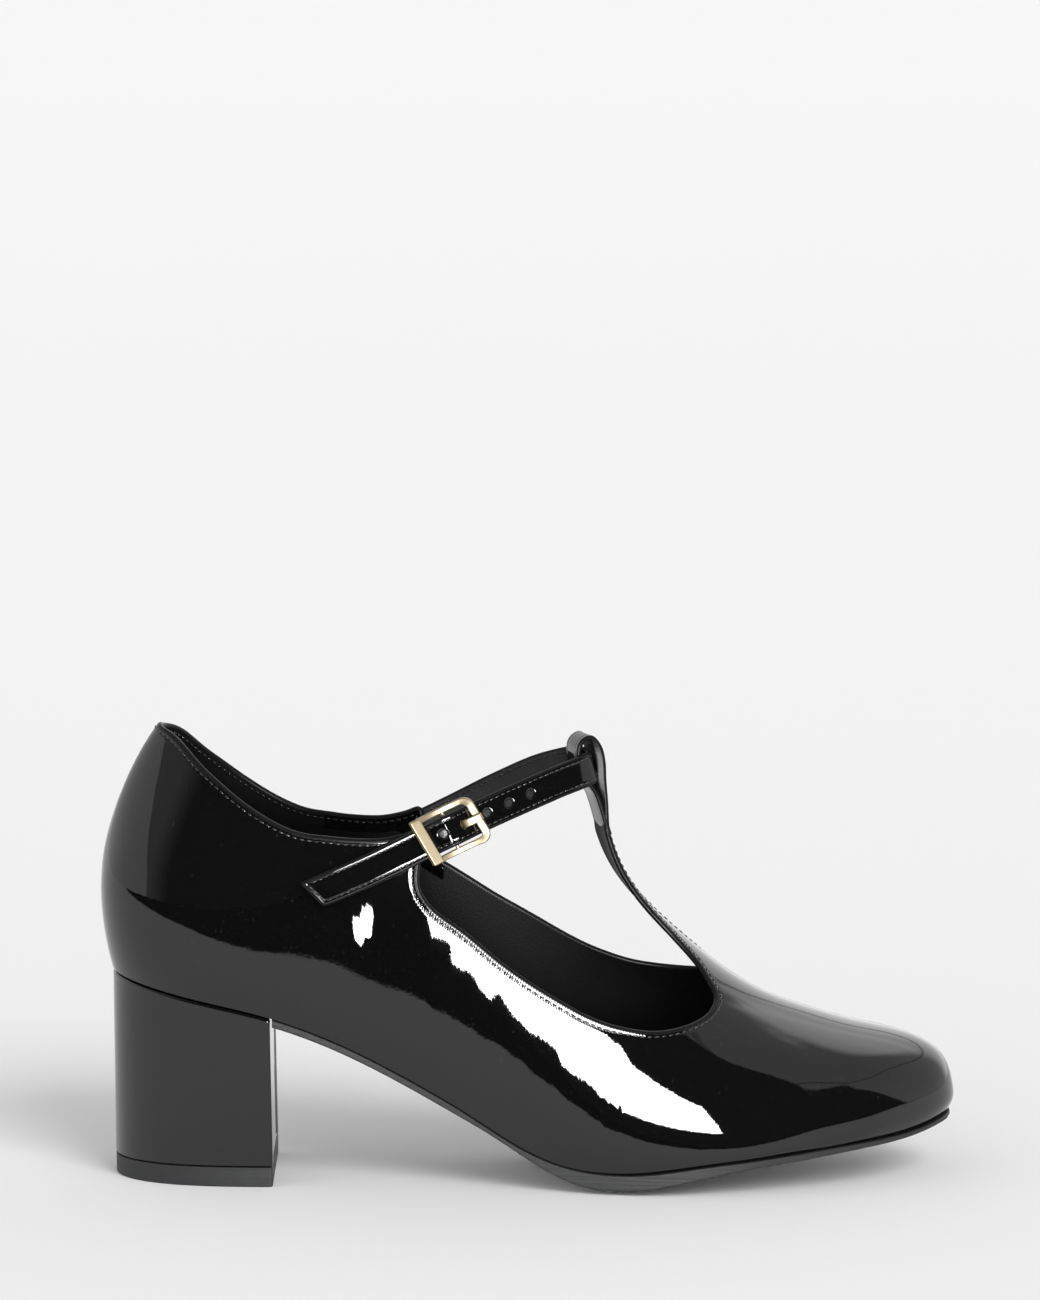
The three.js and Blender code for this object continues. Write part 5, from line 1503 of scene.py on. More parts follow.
@dataclass
class Buckle:
    """Pale gold buckle: wide end bar, bent frame, pivot bar and prong, with the patent tab that holds it."""

    path: StrapPath
    length: float = 18.4
    width: float = 14.2
    bow: float = 3.15
    ahead: float = 0.2
    skew: float = 0.096
    pivot_out: float = -0.8
    arm: float = 1.75
    front_bar: float = 2.3
    frame_wall: float = 1.25
    end_bar: tuple[float, float, float] = (3.1, 14.0, 1.7)
    round_in: float = 2.1
    prong_width: float = 2.3
    prong_wall: float = 1.0
    prong_gap: float = 0.2
    pivot_bar: float = 1.1
    back_in: float = 1.7
    corner: float = 0.42
    end_corner: float = 0.3
    end_set: tuple[float, float, float] = (0.35, 0.25, 0.25)
    end_steps: tuple[float, ...] = (0.0, 0.12, 0.35)
    end_shrink: tuple[float, ...] = (0.32, 0.1, 0.0)
    tab_wall: float = 1.2
    tab_wrap: float = 0.85
    tab_width: float = 7.8
    tab_span: tuple[float, float] = (-26.0, -3.2)
    strap_wall: float = 1.4

    def level(self, at: Array) -> Array:
        """Height of the bowed frame along the strap."""
        q = np.asarray(at, float) / (self.length / 2)
        return self.pivot_out + self.bow * q * q

    def bent_frame(self, x: float, y: float, back: float) -> tuple[Array, Array, Array, int]:
        """Makes the two arms and the front bar.

        Args:
            x: middle of the front bar.
            y: middle of an arm.
            back: where the arms end.

        Returns:
            The part.
        """
        r = self.round_in
        turn = np.linspace(0, math.pi / 2, 14)
        low = [(a, -y) for a in np.linspace(back, x - r, 26)]
        low += [(x - r + r * math.sin(t), -y + r - r * math.cos(t)) for t in turn[1:]]
        low += [(x, b) for b in np.linspace(-y + r, 0, 7)[1:]]
        path = np.array(low + [(a, -b) for a, b in low[::-1][1:]])
        path[:, 0] += self.skew * path[:, 1]
        ahead = unit(np.gradient(path, axis=0))
        grow = ramp(x - 1.4 * r, x - 0.1, path[:, 0])
        wide = self.arm + (self.front_bar - self.arm) * grow
        sections = np.array([rounded_section(w, self.frame_wall, self.corner) for w in wide])
        zero = np.zeros(len(path))
        origins = self.path.buckled(path[:, 0], path[:, 1], self.level(path[:, 0]))
        slope = 2 * self.bow * path[:, 0] / (self.length / 2) ** 2
        outs = self.path.turned(-slope * np.abs(ahead[:, 0]), zero, zero + 1)
        return swept(origins, self.path.turned(ahead[:, 1], -ahead[:, 0], zero), outs, sections)

    def frame(self, gold: Material) -> Piece:
        """Makes the end bar, the bent frame and the pivot bar as one piece."""
        x = self.length / 2 - self.front_bar / 2 + self.ahead
        y = self.width / 2 - self.arm / 2
        back = -(self.length / 2 - self.back_in)
        wide, tall, thick = self.end_bar
        ends = np.array(self.end_steps) - tall / 2
        steps = np.concatenate([ends, np.linspace(-tall / 2 + 1, tall / 2 - 1, 12), -ends[::-1]])
        shrink = self.end_shrink + (0.0,) * 12 + self.end_shrink[::-1]
        made = [rounded_section(wide - 2 * s, thick - 2 * s, self.end_corner) for s in shrink]
        behind, over, lean = self.end_set
        zero = np.zeros(len(steps))
        origins = self.path.buckled(back - behind + self.skew * steps, steps, self.level(back) + over + zero)
        sides = self.path.turned(zero + 1, zero, zero - lean)
        outs = self.path.turned(zero + lean, zero, zero + 1)
        end = swept(origins, sides, outs, np.array(made))
        bar = np.linspace(-y, y, 8)
        zero = np.zeros(len(bar))
        made = [rounded_section(self.pivot_bar, self.pivot_bar, 0.5)] * len(bar)
        sides, outs = self.path.turned(zero + 1, zero, zero), self.path.turned(zero, zero, zero + 1)
        pivot = swept(self.path.buckled(zero, bar, zero + self.pivot_out), sides, outs, np.array(made))
        return joined("buckle_gilt_frame", [self.bent_frame(x, y, back), end, pivot], [gold])

    def prong(self, gold: Material) -> Piece:
        """Makes the prong, from round the pivot bar to its rest on the front bar."""
        wall, foot = self.prong_wall, self.pivot_out
        reach = self.pivot_bar / 2 + self.prong_gap + wall / 2
        turn = math.pi * 0.42 + math.pi * 1.4 * np.arange(10) / 9
        front = self.length / 2 + self.ahead - 1.3
        rest = float(self.level(front)) + self.frame_wall / 2 + wall / 2 + 0.12
        knots = [(reach * math.cos(t), foot + reach * math.sin(t)) for t in turn]
        knots += [(2.2, foot - 0.1), (3.2, foot + 0.35), (4.0, foot + 1.6), (4.7, foot + 3.0)]
        knots += [(5.8, rest - 0.1), (7.4, rest + 0.05), (9.5, rest)]
        line = catmull(np.array(knots), 8)
        ahead = unit(np.gradient(line, axis=0))
        zero = np.zeros(len(line))
        outs = self.path.turned(-ahead[:, 1], zero, ahead[:, 0])
        far = distances(line)
        tip = np.clip((far[-1] - far) / 0.7, 0, 1)
        made = []
        for g in np.sqrt(np.clip(1 - (1 - tip) ** 2, 0.06, 1)):
            made.append(rounded_section(self.prong_width * (0.75 + 0.25 * g), wall * g, self.corner * g))
        origins = self.path.buckled(line[:, 0], zero, line[:, 1])
        part = swept(origins, self.path.turned(zero, zero + 1, zero), outs, np.array(made))
        return joined("buckle_gilt_prong", [part], [gold])

    def tab(self, patent: Material) -> Piece:
        """Makes the short strip from the wing to the pivot bar and round it."""
        wall, wrap = self.tab_wall, self.tab_wrap
        start, stop = self.tab_span
        reach = self.pivot_bar / 2 + 0.25 + wrap / 2
        at = np.linspace(start, stop, 40)
        origin, width, out = self.path.frame(at)
        level = -(self.strap_wall / 2 + 0.3 + wall / 2)
        low = level + (self.pivot_out - reach - level) * ramp(-10, stop, at)
        turn = -math.pi / 2 + math.pi * 1.18 * np.arange(25) / 24
        x, y, zero = np.cos(turn), np.sin(turn), np.zeros(len(turn))
        round_bar = self.path.buckled(reach * x, zero, self.pivot_out + reach * y)
        origins = np.vstack([origin + out * low[:, None], round_bar])
        across = np.vstack([width, np.tile(self.path.middle[1], (len(turn), 1))])
        outs = np.vstack([out, -self.path.turned(x, zero, y)])
        thick = np.concatenate([wall + (wrap - wall) * ramp(-12, stop, at), zero + wrap])
        sections = np.array([rounded_section(self.tab_width, t, t * self.corner) for t in thick])
        return joined("buckle_tab_leather", [swept(origins, across, outs, sections)], [patent])


@dataclass(frozen=True)
class Thread:
    """Size and pitch of the stitches."""

    pitch: float = 2.05
    length: float = 1.5
    width: float = 0.58
    height: float = 0.68
    vary: tuple[float, float] = (0.88, 1.1)
    seed: int = 7

    def tree(self) -> Tree:
        """Builds the node group that lays a stitch on each point."""
        tree = bpy.data.node_groups.new("stitches", "GeometryNodeTree")
        sockets = (("Geometry", "Geometry"), ("Length", "Float"), ("Width", "Float"), ("Height", "Float"))
        for name, kind in sockets + (("Seed", "Int"), ("Thread", "Material")):
            tree.interface.new_socket(name, in_out="INPUT", socket_type="NodeSocket" + kind)
        tree.interface.new_socket("Geometry", in_out="OUTPUT", socket_type="NodeSocketGeometry")
        new = tree.nodes.new
        start, end = new("NodeGroupInput"), new("NodeGroupOutput")
        bead, soft = new("GeometryNodeMeshUVSphere"), new("GeometryNodeSetShadeSmooth")
        for name, value in (("Segments", 8), ("Rings", 6), ("Radius", 0.5)):
            bead.inputs[name].default_value = value
        along, out = new("GeometryNodeInputNamedAttribute"), new("GeometryNodeInputNamedAttribute")
        along.data_type = out.data_type = "FLOAT_VECTOR"
        along.inputs["Name"].default_value = "along"
        out.inputs["Name"].default_value = "facing"
        first, second = new("FunctionNodeAlignRotationToVector"), new("FunctionNodeAlignRotationToVector")
        first.axis = second.pivot_axis = "X"
        second.axis = "Z"
        size, grow = new("ShaderNodeCombineXYZ"), new("ShaderNodeVectorMath")
        grow.operation = "SCALE"
        vary = new("FunctionNodeRandomValue")
        vary.data_type = "FLOAT"
        vary.inputs["Min"].default_value, vary.inputs["Max"].default_value = self.vary
        put, real = new("GeometryNodeInstanceOnPoints"), new("GeometryNodeRealizeInstances")
        dress = new("GeometryNodeSetMaterial")
        for source, name, target, key in (
            (bead, "Mesh", soft, "Geometry"),
            (along, "Attribute", first, "Vector"),
            (first, "Rotation", second, "Rotation"),
            (out, "Attribute", second, "Vector"),
            (start, "Length", size, "X"),
            (start, "Width", size, "Y"),
            (start, "Height", size, "Z"),
            (start, "Seed", vary, "Seed"),
            (size, "Vector", grow, "Vector"),
            (vary, 1, grow, "Scale"),
            (start, "Geometry", put, "Points"),
            (soft, "Geometry", put, "Instance"),
            (second, "Rotation", put, "Rotation"),
            (grow, "Vector", put, "Scale"),
            (put, "Instances", real, "Geometry"),
            (real, "Geometry", dress, "Geometry"),
            (start, "Thread", dress, "Material"),
            (dress, "Geometry", end, "Geometry"),
        ):
            tree.links.new(source.outputs[name], target.inputs[key])
        return tree

    def lay(self, name: str, rows: Array, tree: Tree, material: Material) -> Piece:
        """Lays one seam.

        Args:
            name: the seam's name.
            rows: point, direction along and direction out of each stitch.
            tree: the node group.
            material: the thread's material.

        Returns:
            The seam as a plain mesh.
        """
        mesh = bpy.data.meshes.new(name)
        mesh.from_pydata(((rows[:, :3] + SHIFT) * MM).tolist(), [], [])
        for key, values in (("along", rows[:, 3:6]), ("facing", rows[:, 6:9])):
            layer = mesh.attributes.new(key, "FLOAT_VECTOR", "POINT")
            layer.data.foreach_set("vector", values.astype(np.float32).ravel())
        seam = bpy.data.objects.new(name, mesh)
        bpy.context.scene.collection.objects.link(seam)
        made = seam.modifiers.new("stitches", "NODES")
        made.node_group = tree
        values = {"Length": self.length * MM, "Width": self.width * MM, "Height": self.height * MM}
        values.update({"Seed": self.seed, "Thread": material})
        for item in tree.interface.items_tree:
            if item.in_out == "INPUT" and item.name in values:
                made[item.identifier] = values[item.name]
        bpy.context.view_layer.update()
        graph = bpy.context.evaluated_depsgraph_get()
        done = bpy.data.meshes.new_from_object(seam.evaluated_get(graph))
        seam.modifiers.remove(made)
        seam.data = done
        done.name = name
        return seam


class Group:
    """Small helper to write a shader node group."""

    def __init__(self, name: str, inputs: dict[str, float], outputs: Sequence[str]) -> None:
        """Opens a group with a vector input.

        Args:
            name: the group's name.
            inputs: number inputs with their usual values.
            outputs: number outputs.
        """
        self.tree = bpy.data.node_groups.new(name, "ShaderNodeTree")
        socket = self.tree.interface.new_socket
        socket("Vector", in_out="INPUT", socket_type="NodeSocketVector")
        for key, value in inputs.items():
            socket(key, in_out="INPUT", socket_type="NodeSocketFloat").default_value = value
        for key in outputs:
            socket(key, in_out="OUTPUT", socket_type="NodeSocketFloat")
        self.given = self.tree.nodes.new("NodeGroupInput").outputs
        self.end = self.tree.nodes.new("NodeGroupOutput")

    def math(self, operation: str, a: object, b: object = 0.0) -> Socket:
        """Adds a calculation of two sockets or numbers."""
        return calculate(self.tree, operation, a, b)

    def stretched(self, share: tuple[float, float, float]) -> Socket:
        """Adds the vector input, scaled on its three axes."""
        node = self.tree.nodes.new("ShaderNodeVectorMath")
        node.operation = "MULTIPLY"
        node.inputs[1].default_value = share
        self.tree.links.new(self.given["Vector"], node.inputs[0])
        return node.outputs["Vector"]

    def noise(self, vector: Socket, scale: object, detail: float, rough: float = 0.5) -> Socket:
        """Adds a noise; scale is a socket or a number."""
        node = self.tree.nodes.new("ShaderNodeTexNoise")
        node.inputs["Detail"].default_value = detail
        node.inputs["Roughness"].default_value = rough
        self.tree.links.new(vector, node.inputs["Vector"])
        if isinstance(scale, (int, float)):
            node.inputs["Scale"].default_value = scale
        else:
            self.tree.links.new(scale, node.inputs["Scale"])
        return node.outputs["Fac"]

    def out(self, key: str, value: Socket) -> None:
        """Sends a value out of the group."""
        self.tree.links.new(value, self.end.inputs[key])


def calculate(tree: Tree, operation: str, a: object, b: object = 0.0) -> Socket:
    """Adds a math node; a and b are sockets or numbers."""
    node = tree.nodes.new("ShaderNodeMath")
    node.operation = operation
    for k, value in enumerate((a, b)):
        if isinstance(value, (int, float)):
            node.inputs[k].default_value = value
        else:
            tree.links.new(value, node.inputs[k])
    return node.outputs[0]


def gloss_group() -> Tree:
    """Soft waves of a patent film over leather, with a few specks of dust."""
    inputs = {"Wave Scale": 60.0, "Wave Depth": 1.0, "Pore Scale": 900.0, "Pore Depth": 0.1, "Dust": 0.5}
    group = Group("patent_film", inputs, ("Height", "Speck"))
    given = group.given
    wave = group.noise(given["Vector"], given["Wave Scale"], 2.0)
    pore = group.noise(given["Vector"], given["Pore Scale"], 2.0)
    high = group.math("MULTIPLY", wave, given["Wave Depth"])
    fine = group.math("MULTIPLY", pore, given["Pore Depth"])
    group.out("Height", group.math("ADD", high, fine))
    few = group.math("GREATER_THAN", group.noise(given["Vector"], 1400.0, 0.0), 0.79)
    group.out("Speck", group.math("MULTIPLY", few, given["Dust"]))
    return group.tree


def grain_group() -> Tree:
    """Pebbled grain of lining leather."""
    group = Group("leather_grain", {"Grain Scale": 1100.0, "Grain Depth": 1.0}, ("Height", "Tone"))
    given = group.given
    cells = group.tree.nodes.new("ShaderNodeTexVoronoi")
    cells.feature = "SMOOTH_F1"
    group.tree.links.new(given["Vector"], cells.inputs["Vector"])
    group.tree.links.new(given["Grain Scale"], cells.inputs["Scale"])
    fine = group.math("MULTIPLY", group.noise(given["Vector"], 2600.0, 2.0), 0.4)
    both = group.math("ADD", cells.outputs["Distance"], fine)
    group.out("Height", group.math("MULTIPLY", both, given["Grain Depth"]))
    group.out("Tone", group.noise(given["Vector"], 60.0, 4.0))
    return group.tree


def layer_group() -> Tree:
    """Fine level lines of a trimmed sole edge, with scuffs."""
    inputs = {"Line Scale": 900.0, "Line Depth": 1.0, "Scuff": 0.5}
    group = Group("edge_lines", inputs, ("Height", "Tone"))
    given = group.given
    lines = group.noise(group.stretched((0.03, 0.03, 1.0)), given["Line Scale"], 3.0, 0.6)
    rub = group.noise(given["Vector"], 260.0, 4.0, 0.65)
    deep = group.math("MULTIPLY", lines, given["Line Depth"])
    scuffed = group.math("MULTIPLY", rub, given["Scuff"])
    group.out("Height", group.math("ADD", deep, scuffed))
    group.out("Tone", group.math("ADD", group.math("MULTIPLY", lines, 0.6), group.math("MULTIPLY", rub, 0.4)))
    return group.tree


def brush_group() -> Tree:
    """Brushed and lightly rubbed metal."""
    group = Group("brushed_metal", {"Line Scale": 900.0}, ("Height", "Tone"))
    lines = group.noise(group.stretched((1.0, 1.0, 0.22)), group.given["Line Scale"], 3.0, 0.6)
    group.out("Height", lines)
    group.out("Tone", group.noise(group.given["Vector"], 420.0, 4.0, 0.6))
    return group.tree


@dataclass(frozen=True)
class Finish:
    """Numbers of one surface finish."""

    colour: tuple[float, float, float]
    roughness: float
    metallic: float = 0.0
    ior: float = 1.5
    specular: float = 0.5
    bump: float = 0.0
    tone: tuple[float, float, float] = (0.0, 0.0, 0.0)
    rough_spread: float = 0.0
    settings: tuple[tuple[str, float], ...] = ()

    def material(self, name: str, effect: Tree) -> Material:
        """Builds the material.

        Args:
            name: the material's name.
            effect: the shared group that gives height and tone.

        Returns:
            The material.
        """
        made = bpy.data.materials.new(name)
        made.use_nodes = True
        tree = made.node_tree
        new, link = tree.nodes.new, tree.links.new
        shader = tree.nodes["Principled BSDF"]
        shader.inputs["Base Color"].default_value = (*self.colour, 1)
        shader.inputs["Roughness"].default_value = self.roughness
        shader.inputs["Metallic"].default_value = self.metallic
        shader.inputs["IOR"].default_value = self.ior
        shader.inputs["Specular IOR Level"].default_value = self.specular
        where = new("ShaderNodeTexCoord")
        node = new("ShaderNodeGroup")
        node.node_tree = effect
        link(where.outputs["Object"], node.inputs["Vector"])
        for key, value in self.settings:
            node.inputs[key].default_value = value
        bump = new("ShaderNodeBump")
        bump.inputs["Strength"].default_value = 1.0
        bump.inputs["Distance"].default_value = self.bump
        link(node.outputs["Height"], bump.inputs["Height"])
        link(bump.outputs["Normal"], shader.inputs["Normal"])
        mix = new("ShaderNodeMix")
        mix.data_type = "RGBA"
        mix.inputs["A"].default_value = (*self.colour, 1)
        mix.inputs["B"].default_value = (*self.tone, 1)
        link(node.outputs["Speck" if "Speck" in node.outputs else "Tone"], mix.inputs["Factor"])
        link(mix.outputs["Result"], shader.inputs["Base Color"])
        if self.rough_spread:
            spread = calculate(tree, "MULTIPLY_ADD", node.outputs["Tone"], self.rough_spread)
            spread.node.inputs[2].default_value = self.roughness - self.rough_spread / 2
            link(spread, shader.inputs["Roughness"])
        return made


@dataclass(frozen=True)
class Room:
    """What the gloss mirrors. Angles are in degrees: turn to the right of the front, lift above level."""

    panel_edge: tuple[float, float] = (-54.0, -56.5)
    panel_lean: tuple[float, float, float] = (28.0, 3.0, 24.0)
    panel_top: tuple[float, float, float] = (29.0, 26.0, 0.05)
    panel_tones: tuple[float, float] = (0.55, 0.45)
    fade_edge: tuple[float, float] = (-28.0, -58.0)
    fade_tone: float = 0.42
    wall_edge: tuple[float, float] = (79.0, 81.5)
    wall_slant: tuple[float, float] = (41.0, 0.83)
    wall_tone: tuple[float, float] = (0.92, 0.0035)
    join_line: tuple[float, float, float] = (85.0, 0.33, 51.0)
    join_edge: tuple[float, float] = (1.4, 0.5)
    join_tone: float = 0.45
    back_edge: tuple[float, float] = (125.0, 144.0)
    back_lift: tuple[float, float] = (33.0, 40.0)
    back_tones: tuple[float, float] = (0.8, 1.1)
    darkest: float = 0.05


@dataclass
class Studio:
    """Pale floor, soft light and the camera at the photograph's angle."""

    room: Room = Room()
    pixels: float = 7814.4
    picture_height: float = 1300.0
    sensor: float = 36.0
    pitch: float = 7.6
    place: tuple[float, float, float] = (-2.055, -2185.68, 440.82)
    floor_half: float = 30.0
    floor_tone: float = 0.84
    # Painted light: how much lighter the floor's colour is painted far from the shoe, and over which distances
    painted_far_light: float = 0.05
    painted_light_span: tuple[float, float] = (0.2, 5.0)
    floor_end: float = -0.45
    floor_fade: float = 0.03
    floor_dark: tuple[float, float, float, float] = (0.02, 0.02, 0.022, 1.0)
    fill: tuple[float, float] = (0.22, 3.45)
    fill_front: tuple[float, float] = (0.5, 0.75)
    key: float = 1.75
    key_from: tuple[float, float] = (28.0, 35.0)
    key_width: float = 30.0
    box_place: tuple[float, float, float] = (18.0, -250.0, 80.0)
    box_size: tuple[float, float] = (128.0, 68.0)
    box_power: float = 1.0
    box_spin: float = -6.0

    def camera(self) -> None:
        """Places the camera."""
        data = bpy.data.cameras.new("view")
        data.sensor_width = self.sensor
        data.lens = self.pixels / self.picture_height * self.sensor
        data.clip_start, data.clip_end = 0.05, 100.0
        body = bpy.data.objects.new("view", data)
        body.location = Vector(((np.array(self.place) + SHIFT) * MM).tolist())
        body.rotation_euler = (math.radians(90 - self.pitch), 0, 0)
        bpy.context.scene.collection.objects.link(body)
        bpy.context.scene.camera = body

    def floor_material(self) -> Material:
        """Pale paper, painted lighter further away as painted light, that ends, for reflections only, a short way
        in front of the shoe.
        """
        made = bpy.data.materials.new("floor_paper")
        made.use_nodes = True
        tree = made.node_tree
        new, link = tree.nodes.new, tree.links.new
        shader = tree.nodes["Principled BSDF"]
        shader.inputs["Roughness"].default_value = 0.75
        shader.inputs["Specular IOR Level"].default_value = 0.0
        where, split = new("ShaderNodeTexCoord"), new("ShaderNodeSeparateXYZ")
        link(where.outputs["Object"], split.inputs[0])
        # Painted light: the paper's colour is raised with distance from the shoe
        far = new("ShaderNodeMapRange")
        far.inputs["From Min"].default_value, far.inputs["From Max"].default_value = self.painted_light_span
        far.inputs["To Min"].default_value = self.floor_tone
        far.inputs["To Max"].default_value = self.floor_tone + self.painted_far_light
        link(split.outputs["Y"], far.inputs["Value"])
        grey = new("ShaderNodeCombineColor")
        for key in ("Red", "Green", "Blue"):
            link(far.outputs["Result"], grey.inputs[key])
        link(grey.outputs["Color"], shader.inputs["Base Color"])
        dark = new("ShaderNodeBsdfDiffuse")
        dark.inputs["Color"].default_value = self.floor_dark
        edge = new("ShaderNodeMapRange")
        edge.inputs["From Min"].default_value = self.floor_end
        edge.inputs["From Max"].default_value = self.floor_end - self.floor_fade
        link(split.outputs["Y"], edge.inputs["Value"])
        ray = new("ShaderNodeLightPath")
        only = calculate(tree, "MULTIPLY", edge.outputs["Result"], ray.outputs["Is Glossy Ray"])
        mix = new("ShaderNodeMixShader")
        link(only, mix.inputs["Fac"])
        link(shader.outputs["BSDF"], mix.inputs[1])
        link(dark.outputs["BSDF"], mix.inputs[2])
        link(mix.outputs["Shader"], tree.nodes["Material Output"].inputs["Surface"])
        return made

    def floor(self) -> None:
        """Lays a wide pale floor."""
        mesh = bpy.data.meshes.new("floor")
        r = self.floor_half
        mesh.from_pydata([(-r, -r, 0), (r, -r, 0), (r, r, 0), (-r, r, 0)], [], [(0, 1, 2, 3)])
        mesh.materials.append(self.floor_material())
        plane = bpy.data.objects.new("floor", mesh)
        bpy.context.scene.collection.objects.link(plane)

    def world(self) -> None:
        """Pale room for soft light; what the gloss mirrors is darker on the camera's side."""
        world = bpy.data.worlds.new("studio")
        bpy.context.scene.world = world
        world.use_nodes = True
        tree = world.node_tree
        new, link = tree.nodes.new, tree.links.new
        where, split = new("ShaderNodeTexCoord"), new("ShaderNodeSeparateXYZ")
        link(where.outputs["Generated"], split.inputs[0])

        def calc(operation: str, a: object, b: object = 0.0) -> Socket:
            return calculate(tree, operation, a, b)

        def times(a: object, b: object) -> Socket:
            return calc("MULTIPLY", a, b)

        def plus(a: object, b: object) -> Socket:
            return calc("ADD", a, b)

        def step(value: Socket, low: float, high: float) -> Socket:
            node = new("ShaderNodeMapRange")
            node.interpolation_type = "SMOOTHSTEP"
            node.inputs["From Min"].default_value = low
            node.inputs["From Max"].default_value = high
            link(value, node.inputs["Value"])
            return node.outputs["Result"]

        room = self.room
        front = times(split.outputs["Y"], -1.0)
        turn = times(calc("ARCTAN2", split.outputs["X"], front), 180 / math.pi)
        lift = times(calc("ARCSINE", split.outputs["Z"]), 180 / math.pi)
        # Left panel: its front edge leans back as it rises, its top is grey
        reach, power, most = room.panel_lean
        lean = times(calc("POWER", calc("MAXIMUM", calc("DIVIDE", lift, reach), 0.0), power), most)
        left = step(plus(turn, lean), *room.panel_edge)
        cap = step(plus(lift, times(turn, room.panel_top[2])), *room.panel_top[:2])
        panel = times(left, plus(times(cap, room.panel_tones[0]), room.panel_tones[1]))
        fade = times(step(turn, *room.fade_edge), room.fade_tone)
        # Right wall: its edge slants from the floor up to the left
        highest, slope = room.wall_slant
        right = step(plus(turn, times(calc("MINIMUM", lift, highest), slope)), *room.wall_edge)
        tone = calc("SUBTRACT", room.wall_tone[0], times(lift, room.wall_tone[1]))
        start, fall, level = room.join_line
        seam = plus(lift, times(calc("MAXIMUM", calc("SUBTRACT", turn, start), 0.0), fall))
        line = step(calc("ABSOLUTE", calc("SUBTRACT", seam, level)), *room.join_edge)
        join = calc("SUBTRACT", 1.0, times(line, room.join_tone))
        high = plus(times(step(lift, *room.back_lift), room.back_tones[0]), room.back_tones[1])
        back = times(step(turn, *room.back_edge), high)
        bright = times(times(times(tone, plus(back, 1.0)), right), join)
        total = calc("MAXIMUM", calc("MAXIMUM", panel, fade), calc("MAXIMUM", bright, room.darkest))
        mirror = new("ShaderNodeBackground")
        link(total, mirror.inputs["Strength"])
        plain = tree.nodes["Background"]
        plain.inputs["Color"].default_value = (1, 1, 1, 1)
        # Soft light is strongest near the horizon and from the front
        low = calc("POWER", calc("SUBTRACT", 1.0, calc("MAXIMUM", split.outputs["Z"], 0.0)), 2.0)
        near = plus(times(calc("MAXIMUM", front, 0.0), self.fill_front[0]), self.fill_front[1])
        link(plus(times(times(low, near), self.fill[1]), self.fill[0]), plain.inputs["Strength"])
        ray = new("ShaderNodeLightPath")
        mix = new("ShaderNodeMixShader")
        link(ray.outputs["Is Glossy Ray"], mix.inputs["Fac"])
        link(plain.outputs["Background"], mix.inputs[1])
        link(mirror.outputs["Background"], mix.inputs[2])
        link(mix.outputs["Shader"], tree.nodes["World Output"].inputs["Surface"])

    def soft_box(self) -> None:
        """Hangs a small soft box in front of the shoe that only its gloss shows."""
        data = bpy.data.lights.new("soft_box", "AREA")
        data.shape = "RECTANGLE"
        data.size, data.size_y = (side * MM for side in self.box_size)
        data.energy = self.box_power
        body = bpy.data.objects.new("soft_box", data)
        body.location = Vector(((np.array(self.box_place) + SHIFT) * MM).tolist())
        body.rotation_euler = (math.radians(90), math.radians(self.box_spin), 0)
        body.visible_camera = False
        body.visible_diffuse = False
        bpy.context.scene.collection.objects.link(body)

    def key_light(self) -> None:
        """Adds the broad soft light from the front right, which the gloss doesn't show."""
        data = bpy.data.lights.new("key", "SUN")
        data.energy = self.key
        data.angle = math.radians(self.key_width)
        body = bpy.data.objects.new("key", data)
        turn, lift = (math.radians(v) for v in self.key_from)
        way = Vector((math.sin(turn) * math.cos(lift), -math.cos(turn) * math.cos(lift), math.sin(lift)))
        body.rotation_euler = way.to_track_quat("Z", "Y").to_euler()
        body.visible_glossy = False
        bpy.context.scene.collection.objects.link(body)

    def build(self) -> None:
        """Sets up the studio."""
        self.camera()
        self.floor()
        self.world()
        self.key_light()
        self.soft_box()


def fine_grain(scale: float) -> tuple[tuple[str, float], ...]:
    """Setting of the leather grain's scale."""
    return (("Grain Scale", scale),)


FILM = (("Wave Scale", 45.0), ("Pore Depth", 0.04), ("Dust", 0.06))
PATENT = Finish((0.0022, 0.0022, 0.0024), 0.025, 0.0, 1.6, 0.5, 0.00012, (0.16, 0.16, 0.16), 0.0, FILM)
LINING = Finish(
    (0.0025, 0.0025, 0.0028), 0.5, 0.0, 1.5, 0.12, 0.00005, (0.006, 0.006, 0.0064), 0.15, fine_grain(2400.0)
)
SOCK = Finish(
    (0.009, 0.009, 0.0095), 0.5, 0.0, 1.5, 0.35, 0.00007, (0.015, 0.015, 0.0155), 0.2, fine_grain(2200.0)
)
SOLE_EDGE = Finish((0.009, 0.0092, 0.01), 0.6, 0.0, 1.5, 0.4, 0.0002, (0.032, 0.033, 0.035), 0.2)
TREAD = Finish(
    (0.016, 0.016, 0.017), 0.7, 0.0, 1.5, 0.3, 0.0002, (0.03, 0.03, 0.032), 0.2, fine_grain(1500.0)
)
GOLD = Finish((0.6, 0.51, 0.36), 0.48, 1.0, 1.5, 0.5, 0.00004, (0.4, 0.325, 0.21), 0.16)
PAINTED_EDGE = Finish((0.003, 0.003, 0.0033), 0.3, 0.0, 1.5, 0.16, 0.00003, (0.01, 0.01, 0.011), 0.12)
STRAP_LINING = Finish(
    (0.03, 0.03, 0.032), 0.25, 0.0, 1.5, 0.5, 0.00004, (0.02, 0.02, 0.02), 0.1, fine_grain(2400.0)
)
RAW_EDGE = Finish(
    (0.62, 0.56, 0.47), 0.7, 0.0, 1.5, 0.3, 0.00005, (0.5, 0.44, 0.36), 0.0, fine_grain(2400.0)
)
THREAD = Finish((0.006, 0.006, 0.007), 0.14, 0.0, 1.5, 0.9, 0.0001, (0.02, 0.02, 0.02))
STRAP_PITCH = 1.8
SEAM_SIDE = 3.0
SEAM_FRONT = -24.0


def seam_rows(rows: Array, depth: float) -> Array:
    """Stitch places sunk to the bottom of their pressed line."""
    return np.hstack([rows[:, :3] - rows[:, 6:9] * depth, rows[:, 3:]])


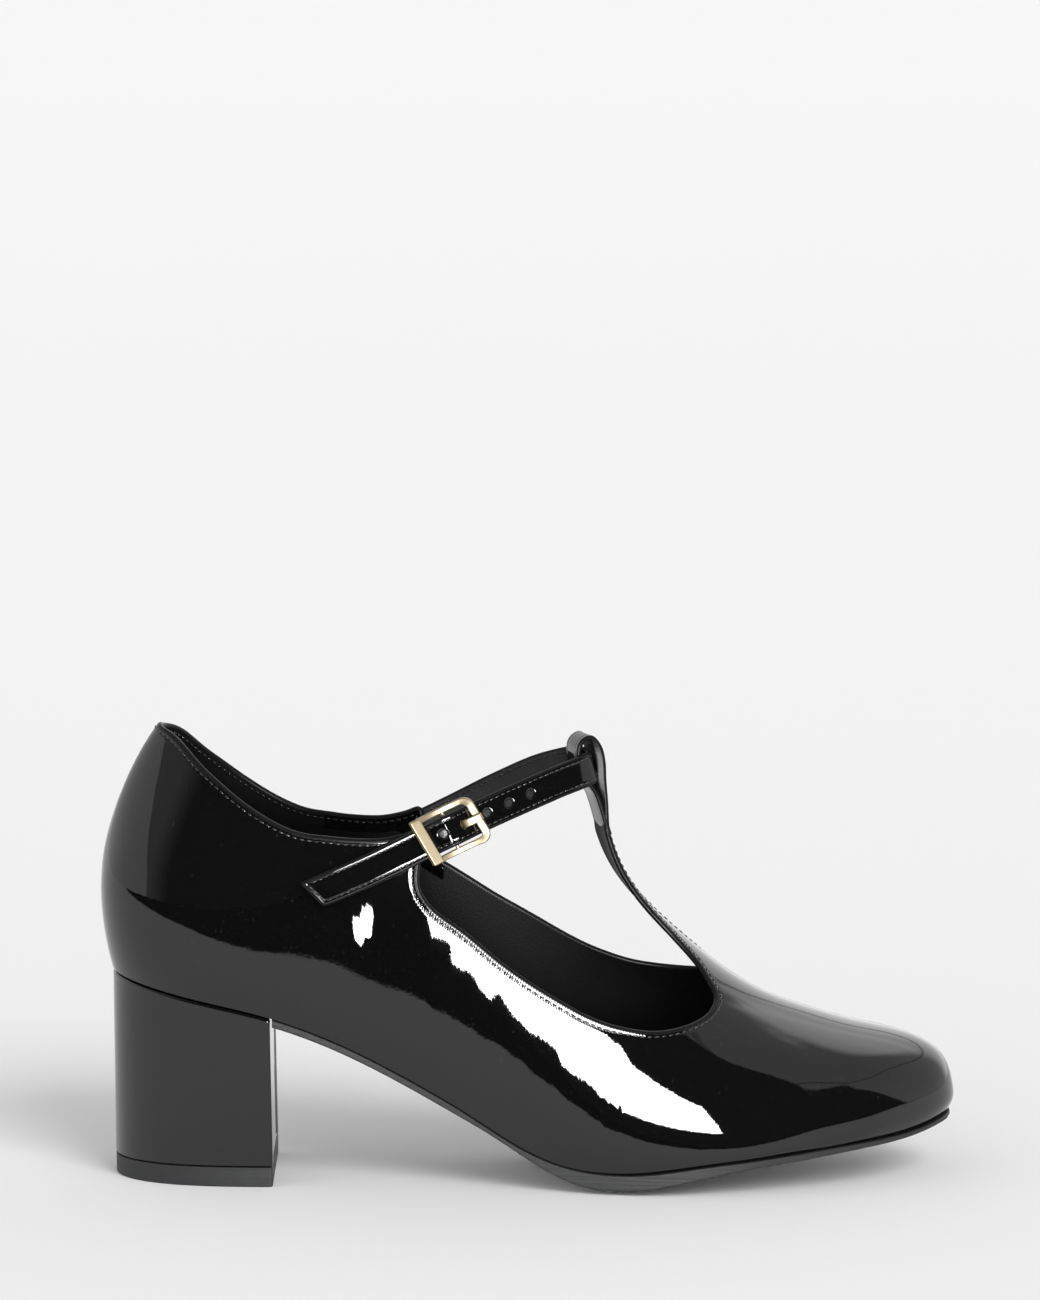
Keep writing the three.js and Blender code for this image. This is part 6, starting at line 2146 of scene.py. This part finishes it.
def main() -> None:
    """Builds the shoe, piece by piece."""
    logging.basicConfig(level=logging.INFO, format="%(name)s %(message)s")
    bpy.context.scene.view_settings.view_transform = "Standard"
    Studio().build()
    film, grain, lines, brush = gloss_group(), grain_group(), layer_group(), brush_group()
    patent, cover = PATENT.material("patent", film), PATENT.material("heel_patent", film)
    lining, sock = LINING.material("lining_leather", grain), SOCK.material("sock_leather", grain)
    rubber, tread = SOLE_EDGE.material("sole_edge", lines), TREAD.material("tread_rubber", grain)
    gold, edge = GOLD.material("pale_gold", brush), PAINTED_EDGE.material("painted_edge", grain)
    inside, raw = STRAP_LINING.material("strap_lining", grain), RAW_EDGE.material("raw_edge", grain)
    thread = THREAD.material("black_thread", grain)
    last = Last()
    upper = Upper(last)
    settle(upper.build(patent, lining, raw, edge), ["upper"])
    sole = Sole(last)
    settle(sole.outsole([tread, rubber]), ["outsole"])
    settle(sole.sock(sock), ["insole"])
    stack = HeelStack(last)
    settle(stack.cover(cover), ["heel"])
    settle(stack.top_lift(rubber), ["top_lift"])
    path = StrapPath()
    strap = AnkleStrap(path)
    settle(strap.build(patent, inside, edge), ["ankle_strap"])
    buckle = Buckle(path)
    settle(buckle.frame(gold), ["buckle_frame"])
    settle(buckle.prong(gold), ["buckle_prong"])
    settle(buckle.tab(patent), ["buckle_tab"])
    sewing = Thread()
    tree = sewing.tree()

    def rim(p: Array) -> Array:
        return (p[:, 1] > SEAM_SIDE) & (p[:, 0] < SEAM_FRONT)

    rows = seam_rows(upper.sheet.stitches(sewing.pitch), upper.edge.groove_depth)
    behind = upper.sheet.stitches(sewing.pitch, True, rim)
    settle(sewing.lay("upper_stitches", np.vstack([rows, behind]), tree, thread))
    rows = seam_rows(strap.sheet.stitches(STRAP_PITCH), strap.edge.groove_depth)
    behind = strap.sheet.stitches(STRAP_PITCH, True, lambda p: p[:, 1] > SEAM_SIDE)
    settle(sewing.lay("strap_stitches", np.vstack([rows, behind]), tree, thread))


if __name__ == "__main__":
    main()
